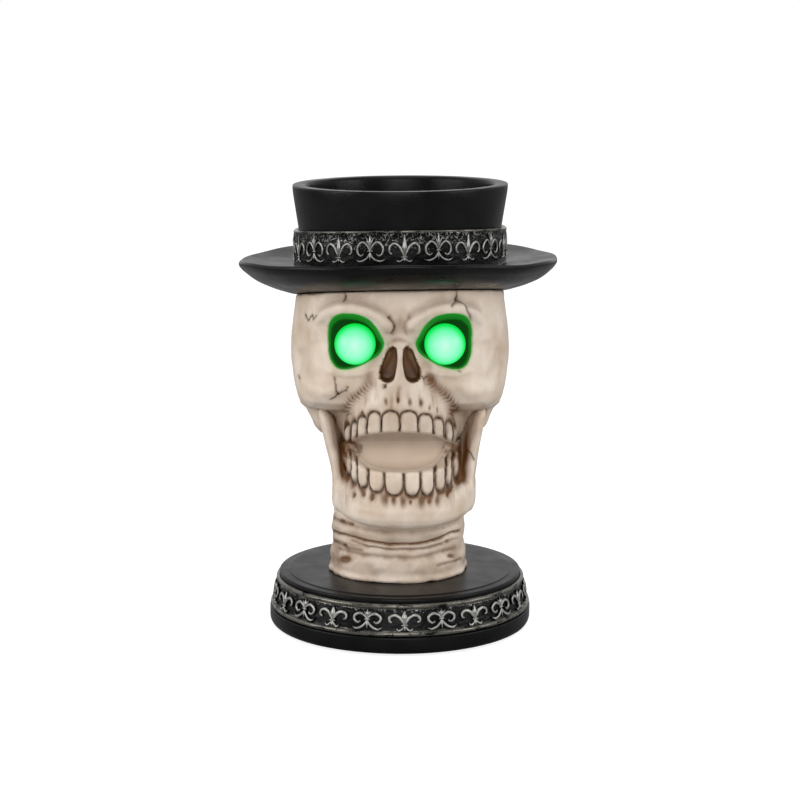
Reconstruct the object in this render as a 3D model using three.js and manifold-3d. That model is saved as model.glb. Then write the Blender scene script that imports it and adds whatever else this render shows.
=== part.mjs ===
// Skull candle holder: an open-mouthed skull in a top hat, on a round plinth.
// The hat's crown is a cup for a pillar candle, and two domes in the eye sockets light up.
// Millimetres, +Z up. The face looks along -Y and the origin is on the floor under the plinth.
// Every length that can be set by itself is a named value here. Tables of shares give the
// form of a piece in parts of the sizes that it follows.

import * as THREE from 'three';
import { mergeVertices } from 'three/addons/utils/BufferGeometryUtils.js';
import Module from 'manifold-3d';

const wasm = await Module();
wasm.setup();

// Fits
const seatGap = 0.3;            // between two pieces that are glued or seated together
const runningGap = 0.4;         // round a piece that moves
const overrun = 4;              // by which a cutter passes the face that it opens
const grain = 0.05;             // slivers finer than this are smoothed away after a cut

// Smoothness, in counts
const roundSides = 40;
const headSides = 40;
const hollowSides = 22;
const smallSides = 10;
const toothSides = 8;
const wireSides = 6;
const wireSteps = 22;
const springSteps = 5;
const domeSides = 16;
const springSides = 5;
const socketSides = 28;
const nostrilSides = 16;
const ramusSides = 14;
const domeSteps = 6;
const hollowSteps = 8;

// Heights, from the floor up
const padThickness = 1.5;
const plinthHeight = 31.5;
const neckHeight = 79;          // top of the plinth to the base of the skull
const skullHeight = 85.3;       // base of the skull to the seat of the hat at its sides
const hatHeight = 62.7;         // seat of the hat to the rim of the candle cup

// Plinth and its ornamental band
const plinthRadius = 77.5;
const plinthFootChamfer = 1.7;
const plinthFootHeight = 10.3;  // plain black foot below the band
const bandSeatDepth = 6.5;      // of the step in the plinth where the band is glued on
const bandSeatHeight = 18.1;
const capInset = 5.3;           // of the black moulding above the band, from the foot
const capRound = 2.4;
const friezeFootInset = 1.1;    // of the frieze's lower edge from the foot of the plinth
const friezeSlope = 3.7;        // by which its upper edge lies further in
const plinthBeadRadius = 1.3;
const beadSink = 0.3;           // of a bead's middle line behind the frieze's edge
const beadSweep = 70;           // degrees of a bead that stand clear of the frieze

// Feet
const padRadius = 8;
const padCircleRadius = 62;

// Neck
const neckHalfWidth = 40.8;
const neckFront = 40;
const neckBack = 43;
const throatHalfWidth = 36;     // the part that stands inside the jaw
const throatFront = 27;
const throatBack = 40;
const neckBore = 12;            // radius of the bore for the wires
const boreBack = 10;            // of the middle of the bore behind the middle of the neck

// Skull
const craniumHalfWidth = 63.8;
const craniumFront = 61;
const craniumBack = 75;
const browProud = 3.6;
const glabellaProud = 2;
const cheekProud = 4.5;
const muzzleHalfWidth = 34.5;
const muzzleFront = 61;
const muzzleBack = 10;
const archDrop = 13;            // how far the upper tooth row falls from the middle to its ends
const archEndDepth = 26;        // how far forward the ends of the tooth rows are

// Eye sockets
const eyeSpacing = 51;
const eyeAboveBase = 60.9;
const socketHalfWidth = 15.4;
const socketHalfHeight = 15.5;
const socketRise = 3.4;         // of the middle of the opening in the face above the dome's
const socketFloorDepth = 38;    // how far forward the flat back of the socket is

// Nose
const noseHalfWidth = 5.3;
const noseHalfHeight = 10.6;
const noseCentreX = 6.4;
const noseAboveBase = 50;
const noseSplay = 3.2;          // how far the foot of an opening lies outside its top
const noseDepth = 15;

// Mouth and teeth
const upperEdgeAboveBase = 14;  // cutting edge of the upper front teeth
const mouthOpening = 25;        // between the front teeth
const lowerArchRise = 4.5;      // how far the lower tooth row climbs from the middle to its ends
const upperToothHeight = 11.4;
const lowerToothHeight = 13;
const toothThickness = 5;
const toothProud = 1;
const gumThickness = 7.5;       // of the arches between their outside and the hollow of the mouth
const mouthBack = 8;            // how far forward the back of the hollow is
const mouthHalfHeight = 18.5;
const toothWidth = 10;          // of a front tooth

// Lower jaw
const jawHalfWidth = 41.8;
const jawFront = 58.5;
const jawBack = 15;
const jawHeight = 34.5;         // chin to the edge of the lower front teeth
const gumHalfWidth = 34;
const gumFront = 56.5;
const ramusThickness = 8.5;
const ramusDepth = 21;
const ramusForward = 9;
const ramusLean = 3;            // how far its top lies ahead of its foot
const jawShift = 1.5;           // of the whole lower jaw towards +X
const ramusSplay = 8.6;         // how far its top stands outside its foot

// Hat
const crownFootRadius = 59.3;
const crownRimRadius = 62.3;
const cupRimRadius = 54.5;
const cupFloorRadius = 52;
const cupDepth = 30;
const lipRound = 1.6;
const brimRadius = 92.6;
const brimRise = 18.4;          // seat of the hat to the top of the brim's edge, at its sides
const brimEdge = 4.6;           // thickness of the edge
const brimDish = 1.4;           // how far the top of the brim lies below its edge
const brimFrontLift = 8.3;
const brimBackLift = 2.6;
const seatFrontLift = 9.2;      // how much higher the hat sits on the forehead than at the sides
const hatTilt = 1.15;           // degrees, up on the +X side
const hatBandHeight = 20.3;
const hatBandThickness = 2.5;
const hatBandRound = 1.1;

// Eyes
const domeRadius = 11.7;
const domeWall = 1.2;
const ledRadius = 2.5;
const ledLength = 8.6;
const ledFlangeRadius = 2.9;
const ledFlange = 1;
const ledSunk = 2;              // how far the lamp's foot lies behind the back of the socket
const leadRadius = 0.5;
const leadLength = 6;

// Wires
const wireRadius = 1.1;
const wireBoreRadius = 4.2;
const wireSpread = 8;           // between a wire and the middle of the neck

// Battery box, cells and contacts
const cellRadius = 5.25;
const cellLength = 44.5;
const cellPipRadius = 1.9;
const cellPip = 0.9;
const cellPlay = 0.5;           // on each side of a cell
const cellCount = 3;
const boxWall = 1.6;
const springLength = 4.4;
const springRadius = 3.2;
const springWire = 0.45;        // radius of the wire
const springTurns = 3;
const plateThickness = 0.5;
const plateWidth = 8;
const flangeMargin = 5;         // of the box's flange beyond its walls
const doorThickness = 1.5;
const doorLedge = 1.5;          // of the door over the walls of the cell bay
const hingeRadius = 1.5;
const tongueWidth = 9;
const tongueHeight = 2.2;
const tongueThickness = 1.1;
const boxShift = 6;             // of the middle of the cells from the middle of the plinth

// Switch
const switchLength = 12;
const switchWidth = 6;
const switchHeight = 5.5;
const sliderWidth = 3;
const sliderLength = 3.2;
const sliderStand = 1;          // how far the knob stands below the flange's upper face
const switchTravel = 3;

// Screws
const screwHeadRadius = 2.6;
const screwHeadHeight = 1.1;
const screwRadius = 1.1;
const screwLength = 7;

// Levels and places that follow from those sizes
const plinthTop = padThickness + plinthHeight;
const skullBase = plinthTop + neckHeight;
const hatSeat = skullBase + skullHeight;
const upperToothEdge = skullBase + upperEdgeAboveBase;
const lowerToothEdge = upperToothEdge - mouthOpening;
const chin = lowerToothEdge - jawHeight;
const eyeLevel = skullBase + eyeAboveBase;
const noseLevel = skullBase + noseAboveBase;
const mouthLevel = (upperToothEdge + lowerToothEdge) / 2 - seatGap;

// Colours, roughness and metalness of each material
const finishes = {
  bone: { color: 0xd8c7b2, roughness: 0.55, metalness: 0 },
  black: { color: 0x1d1e21, roughness: 0.4, metalness: 0 },
  silver: { color: 0x8a8985, roughness: 0.42, metalness: 0.6 },
  diffuser: { color: 0x35f07a, roughness: 0.35, metalness: 0 },
  lamp: { color: 0x9bf7b8, roughness: 0.15, metalness: 0 },
  insulation: { color: 0x202020, roughness: 0.6, metalness: 0 },
  plastic: { color: 0x17181a, roughness: 0.5, metalness: 0 },
  cell: { color: 0x4c5560, roughness: 0.35, metalness: 0.4 },
  steel: { color: 0xb9bcc0, roughness: 0.3, metalness: 0.9 },
  foam: { color: 0x111111, roughness: 0.95, metalness: 0 },
};

const { clamp, lerp, degToRad } = THREE.MathUtils;
const turn = 2 * Math.PI;
const bell = (offset, spread) => Math.exp(-((offset / spread) ** 2));

// A closed solid from a geometry whose faces point out.
function solid(geometry) {
  const bare = geometry.clone();
  bare.deleteAttribute('normal');
  bare.deleteAttribute('uv');
  const merged = mergeVertices(bare);
  const corners = merged.index.array;
  const faces = [];
  for (let i = 0; i < corners.length; i += 3) {
    const [a, b, c] = corners.slice(i, i + 3);
    if (a !== b && b !== c && c !== a) faces.push(a, b, c);
  }
  return new wasm.Manifold(new wasm.Mesh({
    numProp: 3,
    vertProperties: new Float32Array(merged.attributes.position.array),
    triVerts: new Uint32Array(faces),
  }));
}

// The geometry of a closed solid.
function skin(body) {
  const mesh = body.getMesh();
  const geometry = new THREE.BufferGeometry();
  geometry.setAttribute('position', new THREE.BufferAttribute(mesh.vertProperties, 3));
  geometry.setIndex(new THREE.BufferAttribute(mesh.triVerts, 1));
  return geometry;
}

// A skin over rings with equal counts of points, closed by a fan at either end.
// The rings climb, and each runs anticlockwise seen from above.
function loft(rings) {
  const count = rings[0].length;
  const points = rings.flat();
  for (const end of [rings[0], rings.at(-1)]) {
    const middle = new THREE.Vector3();
    end.forEach((point) => middle.add(point));
    points.push(middle.divideScalar(count));
  }
  const faces = [];
  const last = (rings.length - 1) * count;
  for (let j = 0; j < count; j += 1) {
    const next = (j + 1) % count;
    for (let low = 0; low < last; low += count) {
      const high = low + count;
      faces.push(low + j, low + next, high + next, low + j, high + next, high + j);
    }
    faces.push(points.length - 2, next, j, points.length - 1, last + j, last + next);
  }
  const geometry = new THREE.BufferGeometry().setFromPoints(points);
  geometry.setIndex(faces);
  return geometry;
}

// One ring: a superellipse with its own depth in front (-Y) and behind (+Y).
function oval({ z, halfWidth, front, back = front, power = 2, x = 0, y = 0, sides = headSides }) {
  const points = [];
  for (let i = 0; i < sides; i += 1) {
    const angle = turn * i / sides;
    const across = Math.abs(Math.cos(angle)) / halfWidth;
    const along = Math.abs(Math.sin(angle)) / (Math.sin(angle) < 0 ? front : back);
    const radius = (across ** power + along ** power) ** (-1 / power);
    points.push(new THREE.Vector3(x + radius * Math.cos(angle), y + radius * Math.sin(angle), z));
  }
  return points;
}

// A closed profile of [radius, height] points revolved round Z, up on the outside.
// The lift of a point may depend on its place in the profile and its azimuth from the front.
function revolve(profile, lift = null, sides = roundSides) {
  const outline = profile.map(([radius, height]) => new THREE.Vector2(radius, height));
  const geometry = new THREE.LatheGeometry(outline, sides).rotateX(Math.PI / 2);
  if (lift) {
    const place = geometry.attributes.position;
    for (let i = 0; i < place.count; i += 1) {
      const azimuth = Math.atan2(place.getX(i), -place.getY(i));
      const entry = profile[i % profile.length];
      place.setZ(i, place.getZ(i) + lift(entry, azimuth));
    }
  }
  return geometry;
}

function block(width, depth, height, x = 0, y = 0, z = 0) {
  return new THREE.BoxGeometry(width, depth, height).translate(x, y, z);
}

function rod(radius, length, sides = smallSides) {
  return new THREE.CylinderGeometry(radius, radius, length, sides).rotateX(Math.PI / 2);
}

// A table of named columns becomes one row per height.
const columns = (rows, names) => rows.map((row) => (
  Object.fromEntries(names.map((name, i) => [name, row[i]]))
));

const part = new THREE.Group();

function piece(name, finish, shape, parent = part) {
  const body = shape instanceof THREE.BufferGeometry ? solid(shape) : shape.asOriginal().simplify(grain);
  const geometry = skin(body);
  const mesh = new THREE.Mesh(geometry, new THREE.MeshStandardMaterial(finishes[finish]));
  mesh.name = name;
  parent.add(mesh);
  return mesh;
}

// Battery bay: the box hangs in a pocket under the plinth, its open side down.
// Cells lie along X, side by side, with the switch in a bay of its own at the -X end.
const cellPitch = 2 * cellRadius + cellPlay;
const cellBayWidth = cellCount * cellPitch + cellPlay;
const cellBayLength = cellLength + springLength + plateThickness + 3 * seatGap;
const cellBayHeight = 2 * cellRadius + 2 * cellPlay;
const switchBayLength = switchWidth + 2 * cellPlay;
const boxLength = cellBayLength + switchBayLength + 3 * boxWall;
const boxWidth = cellBayWidth + 2 * boxWall;
const flangeTop = padThickness + doorThickness;
const cellLevel = flangeTop + cellPlay + cellRadius;
const bayRoof = flangeTop + cellBayHeight;
const boxTop = bayRoof + boxWall;
const cellBayCentre = boxShift;
const boxCentre = cellBayCentre - (switchBayLength + boxWall) / 2;
const switchCentre = cellBayCentre - (cellBayLength + switchBayLength) / 2 - boxWall;
const cellPlaces = Array.from({ length: cellCount }, (_, i) => (i - (cellCount - 1) / 2) * cellPitch);
const screwX = boxLength / 2 - screwHeadRadius;
const screwY = boxWidth / 2 + flangeMargin / 2 + screwHeadRadius;

// Plinth: a turned casting with a step for the band, a pocket for the box and a bore for the wires
const footTop = padThickness + plinthFootHeight;
const bandSeatTop = footTop + bandSeatHeight;
const bandSeatRadius = plinthRadius - bandSeatDepth;
const capRadius = plinthRadius - capInset;
const capEdge = plinthTop - capRound;
const capArc = [1, 2, 3].map((step) => {
  const angle = step / 3 * Math.PI / 2;
  return [capRadius - capRound * (1 - Math.cos(angle)), capEdge + capRound * Math.sin(angle)];
});
const plinthBlank = solid(revolve([
  [0, padThickness],
  [plinthRadius - plinthFootChamfer, padThickness],
  [plinthRadius, padThickness + plinthFootChamfer],
  [plinthRadius, footTop],
  [bandSeatRadius, footTop],
  [bandSeatRadius, bandSeatTop],
  [capRadius, bandSeatTop],
  [capRadius, capEdge],
  ...capArc,
  [0, plinthTop],
]));

const flangeLength = boxLength + 2 * flangeMargin;
const flangeWidth = boxWidth + 2 * flangeMargin;
const earLength = 2 * (screwHeadRadius + cellPlay);
const earWidth = 2 * (screwY + screwHeadRadius + cellPlay);
const growth = 2 * seatGap;

// The flange of the box with two ears for its screws, grown by a margin for its pocket
function flangePlate(margin, height, level) {
  const plate = solid(block(flangeLength + margin, flangeWidth + margin, height, boxCentre, 0, level));
  const ears = solid(block(earLength + margin, earWidth + margin, height, boxCentre + screwX, 0, level));
  return plate.add(ears);
}

const pocketHeight = boxTop + seatGap - flangeTop;
const screwHole = (x, y) => solid(
  rod(screwRadius + seatGap, screwLength + 2 * seatGap)
    .translate(x, y, padThickness + (screwLength + 2 * seatGap) / 2 + screwHeadHeight),
);
const screwPlaces = [-1, 1].map((side) => [boxCentre + screwX, side * screwY]);
const wireBore = solid(
  rod(neckBore - seatGap, plinthHeight, smallSides).translate(0, boreBack, boxTop + plinthHeight / 2),
);
let plinth = plinthBlank
  .subtract(flangePlate(growth, doorThickness + overrun, flangeTop + seatGap - (doorThickness + overrun) / 2))
  .subtract(solid(block(
    boxLength + growth,
    boxWidth + growth,
    pocketHeight + overrun,
    boxCentre,
    0,
    flangeTop + (pocketHeight - overrun) / 2,
  )))
  .subtract(wireBore);
for (const [x, y] of screwPlaces) plinth = plinth.subtract(screwHole(x, y));
piece('plinth', 'black', plinth);

// Plinth band: a conical frieze between two round beads
function beadArc(centre, level, from, to) {
  return [0, 1, 2].map((step) => {
    const angle = degToRad(lerp(from, to, step / 2));
    return [centre + plinthBeadRadius * Math.cos(angle), level + plinthBeadRadius * Math.sin(angle)];
  });
}
const lowerBead = footTop + seatGap + plinthBeadRadius;
const upperBead = bandSeatTop - seatGap - plinthBeadRadius;
const friezeFootRadius = plinthRadius - friezeFootInset;
const friezeTopRadius = friezeFootRadius - friezeSlope;
piece('plinth_band', 'silver', revolve([
  [bandSeatRadius + seatGap, lowerBead - plinthBeadRadius],
  ...beadArc(friezeFootRadius - beadSink, lowerBead, -90, beadSweep),
  [friezeFootRadius, lowerBead + plinthBeadRadius],
  [(friezeFootRadius + friezeTopRadius) / 2, (lowerBead + upperBead) / 2],
  [friezeTopRadius, upperBead - plinthBeadRadius],
  ...beadArc(friezeTopRadius + beadSink, upperBead, -beadSweep, 90),
  [bandSeatRadius + seatGap, upperBead + plinthBeadRadius],
  [bandSeatRadius + seatGap, lowerBead - plinthBeadRadius],
]));

// Foot pads
for (let i = 0; i < 4; i += 1) {
  const angle = turn * (i + 0.5) / 4;
  piece(`foot_pad_${i + 1}`, 'foam', rod(padRadius, padThickness - seatGap / 3))
    .position.set(
      padCircleRadius * Math.cos(angle),
      padCircleRadius * Math.sin(angle),
      (padThickness - seatGap / 3) / 2,
    );
}

// Battery box
const doorLength = cellBayLength - 2 * seatGap;
const doorEdge = cellBayWidth / 2 + doorLedge;
const bayDrop = cellBayHeight + doorThickness + overrun;
const boxShell = flangePlate(0, doorThickness, padThickness + doorThickness / 2)
  .add(solid(block(boxLength, boxWidth, boxTop - padThickness, boxCentre, 0, (boxTop + padThickness) / 2)));
const cellBay = solid(block(cellBayLength, cellBayWidth, bayDrop, cellBayCentre, 0, bayRoof - bayDrop / 2));
const doorRecess = solid(block(
  doorLength + 2 * runningGap,
  2 * doorEdge + 2 * runningGap,
  doorThickness + overrun,
  cellBayCentre,
  0,
  flangeTop + runningGap - (doorThickness + overrun) / 2,
));
const hingeY = doorEdge - hingeRadius;
const hingeLevel = padThickness + hingeRadius;
const hingeGroove = solid(
  rod(hingeRadius + runningGap, doorLength + 2 * runningGap).rotateY(Math.PI / 2)
    .translate(cellBayCentre, hingeY, hingeLevel),
);
const switchBayHeight = switchHeight + runningGap;
const switchBay = solid(block(
  switchBayLength,
  switchLength + 2 * seatGap,
  switchBayHeight + overrun,
  switchCentre,
  0,
  flangeTop + (switchBayHeight + overrun) / 2,
));
const sliderSlot = solid(block(
  sliderWidth + 2 * runningGap,
  sliderLength + switchTravel + 2 * runningGap,
  doorThickness + 2 * overrun,
  switchCentre,
  0,
  padThickness + doorThickness / 2,
));
const roofHole = solid(
  rod(wireBoreRadius, boxWall + 2 * overrun).translate(0, boreBack, bayRoof + boxWall / 2),
);
let batteryBox = boxShell
  .subtract(cellBay)
  .subtract(doorRecess)
  .subtract(hingeGroove)
  .subtract(switchBay)
  .subtract(sliderSlot)
  .subtract(roofHole);
for (const [x, y] of screwPlaces) {
  const hole = solid(rod(screwRadius + seatGap, doorThickness + 2 * overrun).translate(x, y, flangeTop));
  const sink = solid(rod(screwHeadRadius + seatGap, 2 * screwHeadHeight).translate(x, y, padThickness));
  batteryBox = batteryBox.subtract(hole).subtract(sink);
}
piece('battery_box', 'plastic', batteryBox);

// Battery door: a plate on a round hinge bead, with a tongue at its free edge
const doorPlate = solid(block(
  doorLength,
  2 * doorEdge - hingeRadius,
  doorThickness,
  cellBayCentre,
  -hingeRadius / 2,
  padThickness + doorThickness / 2,
));
const hingeBead = solid(
  rod(hingeRadius, doorLength).rotateY(Math.PI / 2).translate(cellBayCentre, hingeY, hingeLevel),
);
const tongueY = -cellBayWidth / 2 + runningGap + tongueThickness / 2;
const tongue = solid(block(
  tongueWidth,
  tongueThickness,
  tongueHeight + doorThickness,
  cellBayCentre,
  tongueY,
  padThickness + (tongueHeight + doorThickness) / 2,
));
piece('battery_door', 'plastic', doorPlate.add(hingeBead).add(tongue));

// Cells, and the plate and spring that each lies between. Every other cell is turned round.
const bayEnd = cellBayLength / 2;
function cell() {
  return revolve([
    [0, 0],
    [cellRadius, 0],
    [cellRadius, cellLength - cellPip],
    [cellPipRadius, cellLength - cellPip],
    [cellPipRadius, cellLength],
    [0, cellLength],
  ], null, smallSides).rotateY(Math.PI / 2);
}
class Coil extends THREE.Curve {
  getPoint(share, target = new THREE.Vector3()) {
    const angle = turn * springTurns * share;
    const rise = springWire + (springLength - 2 * springWire) * share;
    return target.set(rise, springRadius * Math.cos(angle), springRadius * Math.sin(angle));
  }
}
function disc(radius, sides) {
  const outline = [];
  for (let i = 0; i < sides; i += 1) {
    outline.push(new THREE.Vector2(radius * Math.cos(turn * i / sides), radius * Math.sin(turn * i / sides)));
  }
  return new THREE.Shape(outline);
}
const coil = new THREE.ExtrudeGeometry(disc(springWire, springSides), {
  extrudePath: new Coil(),
  steps: springTurns * springSteps,
});
cellPlaces.forEach((y, i) => {
  const holder = new THREE.Group();
  holder.position.set(cellBayCentre, y, cellLevel);
  holder.rotation.z = i % 2 ? Math.PI : 0;
  part.add(holder);
  const springStart = -bayEnd + seatGap;
  const cellStart = springStart + springLength + seatGap;
  piece(`battery_${i + 1}`, 'cell', cell(), holder).position.x = cellStart;
  piece(`contact_spring_${i + 1}`, 'steel', coil, holder).position.x = springStart;
  piece(
    `contact_plate_${i + 1}`,
    'steel',
    block(plateThickness, plateWidth, plateWidth),
    holder,
  ).position.x = bayEnd - plateThickness / 2 - seatGap / 3;
});

// Switch: a body in its bay, and a knob that slides across the flange
piece('switch_body', 'plastic', block(
  switchWidth,
  switchLength,
  switchHeight - sliderStand,
  switchCentre,
  0,
  flangeTop + sliderStand + (switchHeight - sliderStand) / 2 + seatGap / 2,
));
const sliderHeight = doorThickness + sliderStand - seatGap;
piece('switch_slider', 'plastic', block(
  sliderWidth,
  sliderLength,
  sliderHeight,
  switchCentre,
  -switchTravel / 2,
  padThickness + sliderHeight / 2,
));

// Screws that hold the box
screwPlaces.forEach(([x, y], i) => {
  piece(`box_screw_${i + 1}`, 'steel', revolve([
    [0, 0],
    [screwHeadRadius, 0],
    [screwHeadRadius, screwHeadHeight - seatGap],
    [screwRadius, screwHeadHeight - seatGap],
    [screwRadius, screwLength],
    [0, screwLength],
  ], null, smallSides)).position.set(x, y, padThickness);
});

// Neck: a root-like stump below the jaw, and the throat that carries the skull inside it
const neckShares = columns([
  [0.000, 1.035, 1.02, 2.1],
  [0.025, 1.020, 1.01, 2.1],
  [0.075, 1.000, 0.99, 2.2],
  [0.125, 1.010, 0.99, 2.2],
  [0.150, 0.985, 0.965, 2.2],
  [0.190, 1.005, 0.98, 2.2],
  [0.255, 0.960, 0.945, 2.2],
  [0.280, 0.930, 0.920, 2.2],
  [0.305, 0.955, 0.945, 2.2],
  [0.380, 0.955, 0.93, 2.2],
  [0.425, 0.930, 0.90, 2.2],
], ['heightShare', 'widthShare', 'depthShare', 'power']);
const throatShares = [0.46, 0.75, 1];
function neckRings(grow, topShare) {
  const stump = neckShares.map((row) => oval({
    z: plinthTop + seatGap + row.heightShare * neckHeight,
    halfWidth: row.widthShare * neckHalfWidth + grow,
    front: row.depthShare * neckFront + grow,
    back: row.depthShare * neckBack + grow,
    power: row.power,
  }));
  const throat = [...throatShares.slice(0, -1), topShare].map((share) => oval({
    z: plinthTop + share * neckHeight,
    halfWidth: throatHalfWidth + grow,
    front: throatFront + grow,
    back: throatBack + grow,
    power: 3,
  }));
  return [...stump, ...throat];
}

// The hollow of the mouth, which opens between the rows of teeth
const hollowWidth = muzzleHalfWidth - gumThickness;
const hollowFront = muzzleFront - gumThickness;
function mouthHollow() {
  const rings = [];
  const poleTilt = degToRad(80);
  const roundnessShare = 0.6;
  for (let i = 0; i <= hollowSteps; i += 1) {
    const angle = lerp(-poleTilt, poleTilt, i / hollowSteps);
    const spread = Math.cos(angle) ** roundnessShare;
    rings.push(oval({
      z: mouthLevel + mouthHalfHeight * Math.sin(angle),
      halfWidth: hollowWidth * spread,
      front: (hollowFront - archEndDepth) * spread,
      back: (archEndDepth - mouthBack) * spread,
      power: 2.3,
      y: -archEndDepth,
      sides: hollowSides,
    }));
  }
  return solid(loft(rings));
}
const hollow = mouthHollow();
const bore = solid(
  rod(neckBore, neckHeight + 2 * overrun).translate(0, boreBack, plinthTop + neckHeight / 2),
);
const neckSpace = solid(loft(neckRings(seatGap, 1.01)));
piece('neck', 'bone', solid(loft(neckRings(0, 1))).subtract(hollow).subtract(bore));

// How far a point of the upper arch hangs below the front teeth
const archShare = (forward) => clamp((muzzleFront - forward) / (muzzleFront - archEndDepth), 0, 1);
const drop = (forward) => archDrop * archShare(forward) ** 1.5;

// The arch in plan is a superellipse. A place on it is found by its angle from the front.
const archPower = 2.3;
function archPlace(halfWidth, front, angle) {
  const across = Math.abs(Math.sin(angle)) / halfWidth;
  const along = Math.cos(angle) / front;
  const radius = (across ** archPower + along ** archPower) ** (-1 / archPower);
  const x = radius * Math.sin(angle);
  const forward = radius * Math.cos(angle);
  const heading = Math.atan2(
    Math.sign(x) * Math.abs(x / halfWidth) ** (archPower - 1) / halfWidth,
    (forward / front) ** (archPower - 1) / front,
  );
  return { x, forward, heading };
}

// One tooth: flat at its cutting edge and round where it enters the gum
const toothShares = [[0, 0.86], [0.12, 0.98], [0.55, 0.98], [0.85, 0.76], [1, 0.4]];
function tooth({ place, width, height, edge, up }) {
  const rings = toothShares.map(([share, spread]) => oval({
    z: (up ? share : -share) * height,
    halfWidth: width / 2 * spread,
    front: toothThickness / 2 * (1 - 0.25 * share),
    power: 2.8,
    sides: toothSides,
  }));
  return loft(up ? rings : rings.toReversed())
    .rotateZ(place.heading)
    .translate(place.x, -place.forward, edge);
}

// A row: widths from the middle outwards, walked off along the arch on both sides
const toothWidthShares = [1, 0.97, 0.88, 0.76, 0.64, 0.6];
const walkStep = degToRad(0.25);
function toothRow({ halfWidth, front, height, edge, up }) {
  const teeth = [];
  const outside = toothProud - toothThickness / 2;
  for (const side of [-1, 1]) {
    let angle = 0;
    let walked = 0;
    let begin = 0;
    for (const share of toothWidthShares) {
      const width = share * toothWidth;
      while (walked < begin + width / 2) {
        const here = archPlace(halfWidth, front, angle);
        const ahead = archPlace(halfWidth, front, angle + walkStep);
        walked += Math.hypot(ahead.x - here.x, ahead.forward - here.forward);
        angle += walkStep;
      }
      begin += width;
      const place = archPlace(halfWidth + outside, front + outside, side * angle);
      teeth.push(solid(tooth({
        place,
        width,
        height: height * (0.6 + 0.4 * share),
        edge: edge(place.forward),
        up,
      })));
    }
  }
  return teeth;
}
const upperTeeth = toothRow({
  halfWidth: muzzleHalfWidth,
  front: muzzleFront,
  height: upperToothHeight,
  edge: (forward) => upperToothEdge - drop(forward),
  up: true,
});
const lowerTeeth = toothRow({
  halfWidth: gumHalfWidth,
  front: gumFront,
  height: lowerToothHeight,
  edge: (forward) => lowerToothEdge + lowerArchRise * archShare(forward) ** 1.5,
  up: false,
});

// Lower jaw: the bone of the chin, the gum with its teeth, and a ramus on each side
const jawShares = columns([
  [0.000, 0.55, 0.74, 2.3],
  [0.040, 0.80, 0.89, 2.4],
  [0.110, 0.94, 0.955, 2.5],
  [0.200, 0.99, 0.99, 2.5],
  [0.350, 1.00, 1.00, 2.5],
  [0.500, 1.00, 0.985, 2.5],
  [0.620, 0.965, 0.945, 2.5],
], ['heightShare', 'widthShare', 'frontShare', 'power']);
const jawBone = solid(loft(jawShares.map((row) => oval({
  z: chin + row.heightShare * jawHeight,
  halfWidth: row.widthShare * jawHalfWidth,
  front: row.frontShare * jawFront,
  back: jawBack,
  power: row.power,
}))));
const gumShares = [[0.3, 0.94], [0.55, 1], [0.75, 1], [0.86, 0.99], [0.93, 0.96]];
const gum = solid(loft(gumShares.map(([share, spread]) => {
  const points = oval({
    z: chin + share * jawHeight,
    halfWidth: gumHalfWidth * spread,
    front: gumFront * spread,
    back: jawBack,
    power: archPower,
  });
  points.forEach((point) => {
    point.z += lowerArchRise * archShare(-point.y) ** 1.5 * share;
  });
  return points;
})));
const ramusTop = skullBase + 0.23 * skullHeight;
const ramusShares = [
  [0, 0.75, 0.8],
  [0.08, 1, 1],
  [0.4, 1, 1],
  [0.75, 0.95, 0.95],
  [0.93, 0.85, 0.85],
  [1, 0.5, 0.5],
];
function ramus(side, grow) {
  const foot = chin + 0.12 * jawHeight;
  return solid(loft(ramusShares.map(([share, across, along]) => oval({
    z: lerp(foot, ramusTop, share) + (share === 1 ? grow : 0),
    halfWidth: ramusThickness / 2 * across + grow,
    front: ramusDepth / 2 * along + grow,
    x: side * (jawHalfWidth - ramusThickness / 2 + ramusSplay * share ** 2),
    y: -ramusForward - ramusLean * share,
    power: 2.6,
    sides: ramusSides,
  }))));
}
let jaw = jawBone.add(gum).add(ramus(-1, 0)).add(ramus(1, 0)).subtract(hollow.translate([-jawShift, 0, 0]));
lowerTeeth.forEach((body) => { jaw = jaw.add(body); });
jaw = jaw.translate([jawShift, 0, 0]).subtract(neckSpace);
piece('lower_jaw', 'bone', jaw);

// Skull: cranium and face, muzzle, brows and cheekbones, with sockets, nose and hollow cut in.
// Heights up to 1 are shares of the skull's height. What is over 1 is a share of the brim's rise.
const craniumShares = columns([
  [0.000, 0.600, 0.20, 0.50, 2.2],
  [0.025, 0.700, 0.24, 0.58, 2.2],
  [0.090, 0.790, 0.27, 0.70, 2.2],
  [0.170, 0.840, 0.31, 0.82, 2.2],
  [0.225, 0.880, 0.38, 0.88, 2.3],
  [0.255, 0.925, 0.60, 0.90, 2.5],
  [0.290, 0.943, 0.72, 0.925, 2.6],
  [0.350, 0.955, 0.78, 0.95, 2.6],
  [0.430, 0.970, 0.81, 0.98, 2.6],
  [0.520, 0.988, 0.835, 1, 2.55],
  [0.610, 0.999, 0.85, 1, 2.5],
  [0.700, 0.999, 0.87, 1, 2.45],
  [0.780, 0.988, 0.90, 0.995, 2.4],
  [0.850, 0.975, 0.94, 0.985, 2.35],
  [0.920, 0.963, 0.975, 0.97, 2.3],
  [1.000, 0.951, 0.985, 0.955, 2.25],
  [1.420, 0.945, 0.985, 0.94, 2.2],
  [1.830, 0.940, 0.975, 0.92, 2.2],
], ['heightShare', 'widthShare', 'frontShare', 'backShare', 'power']);

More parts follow.
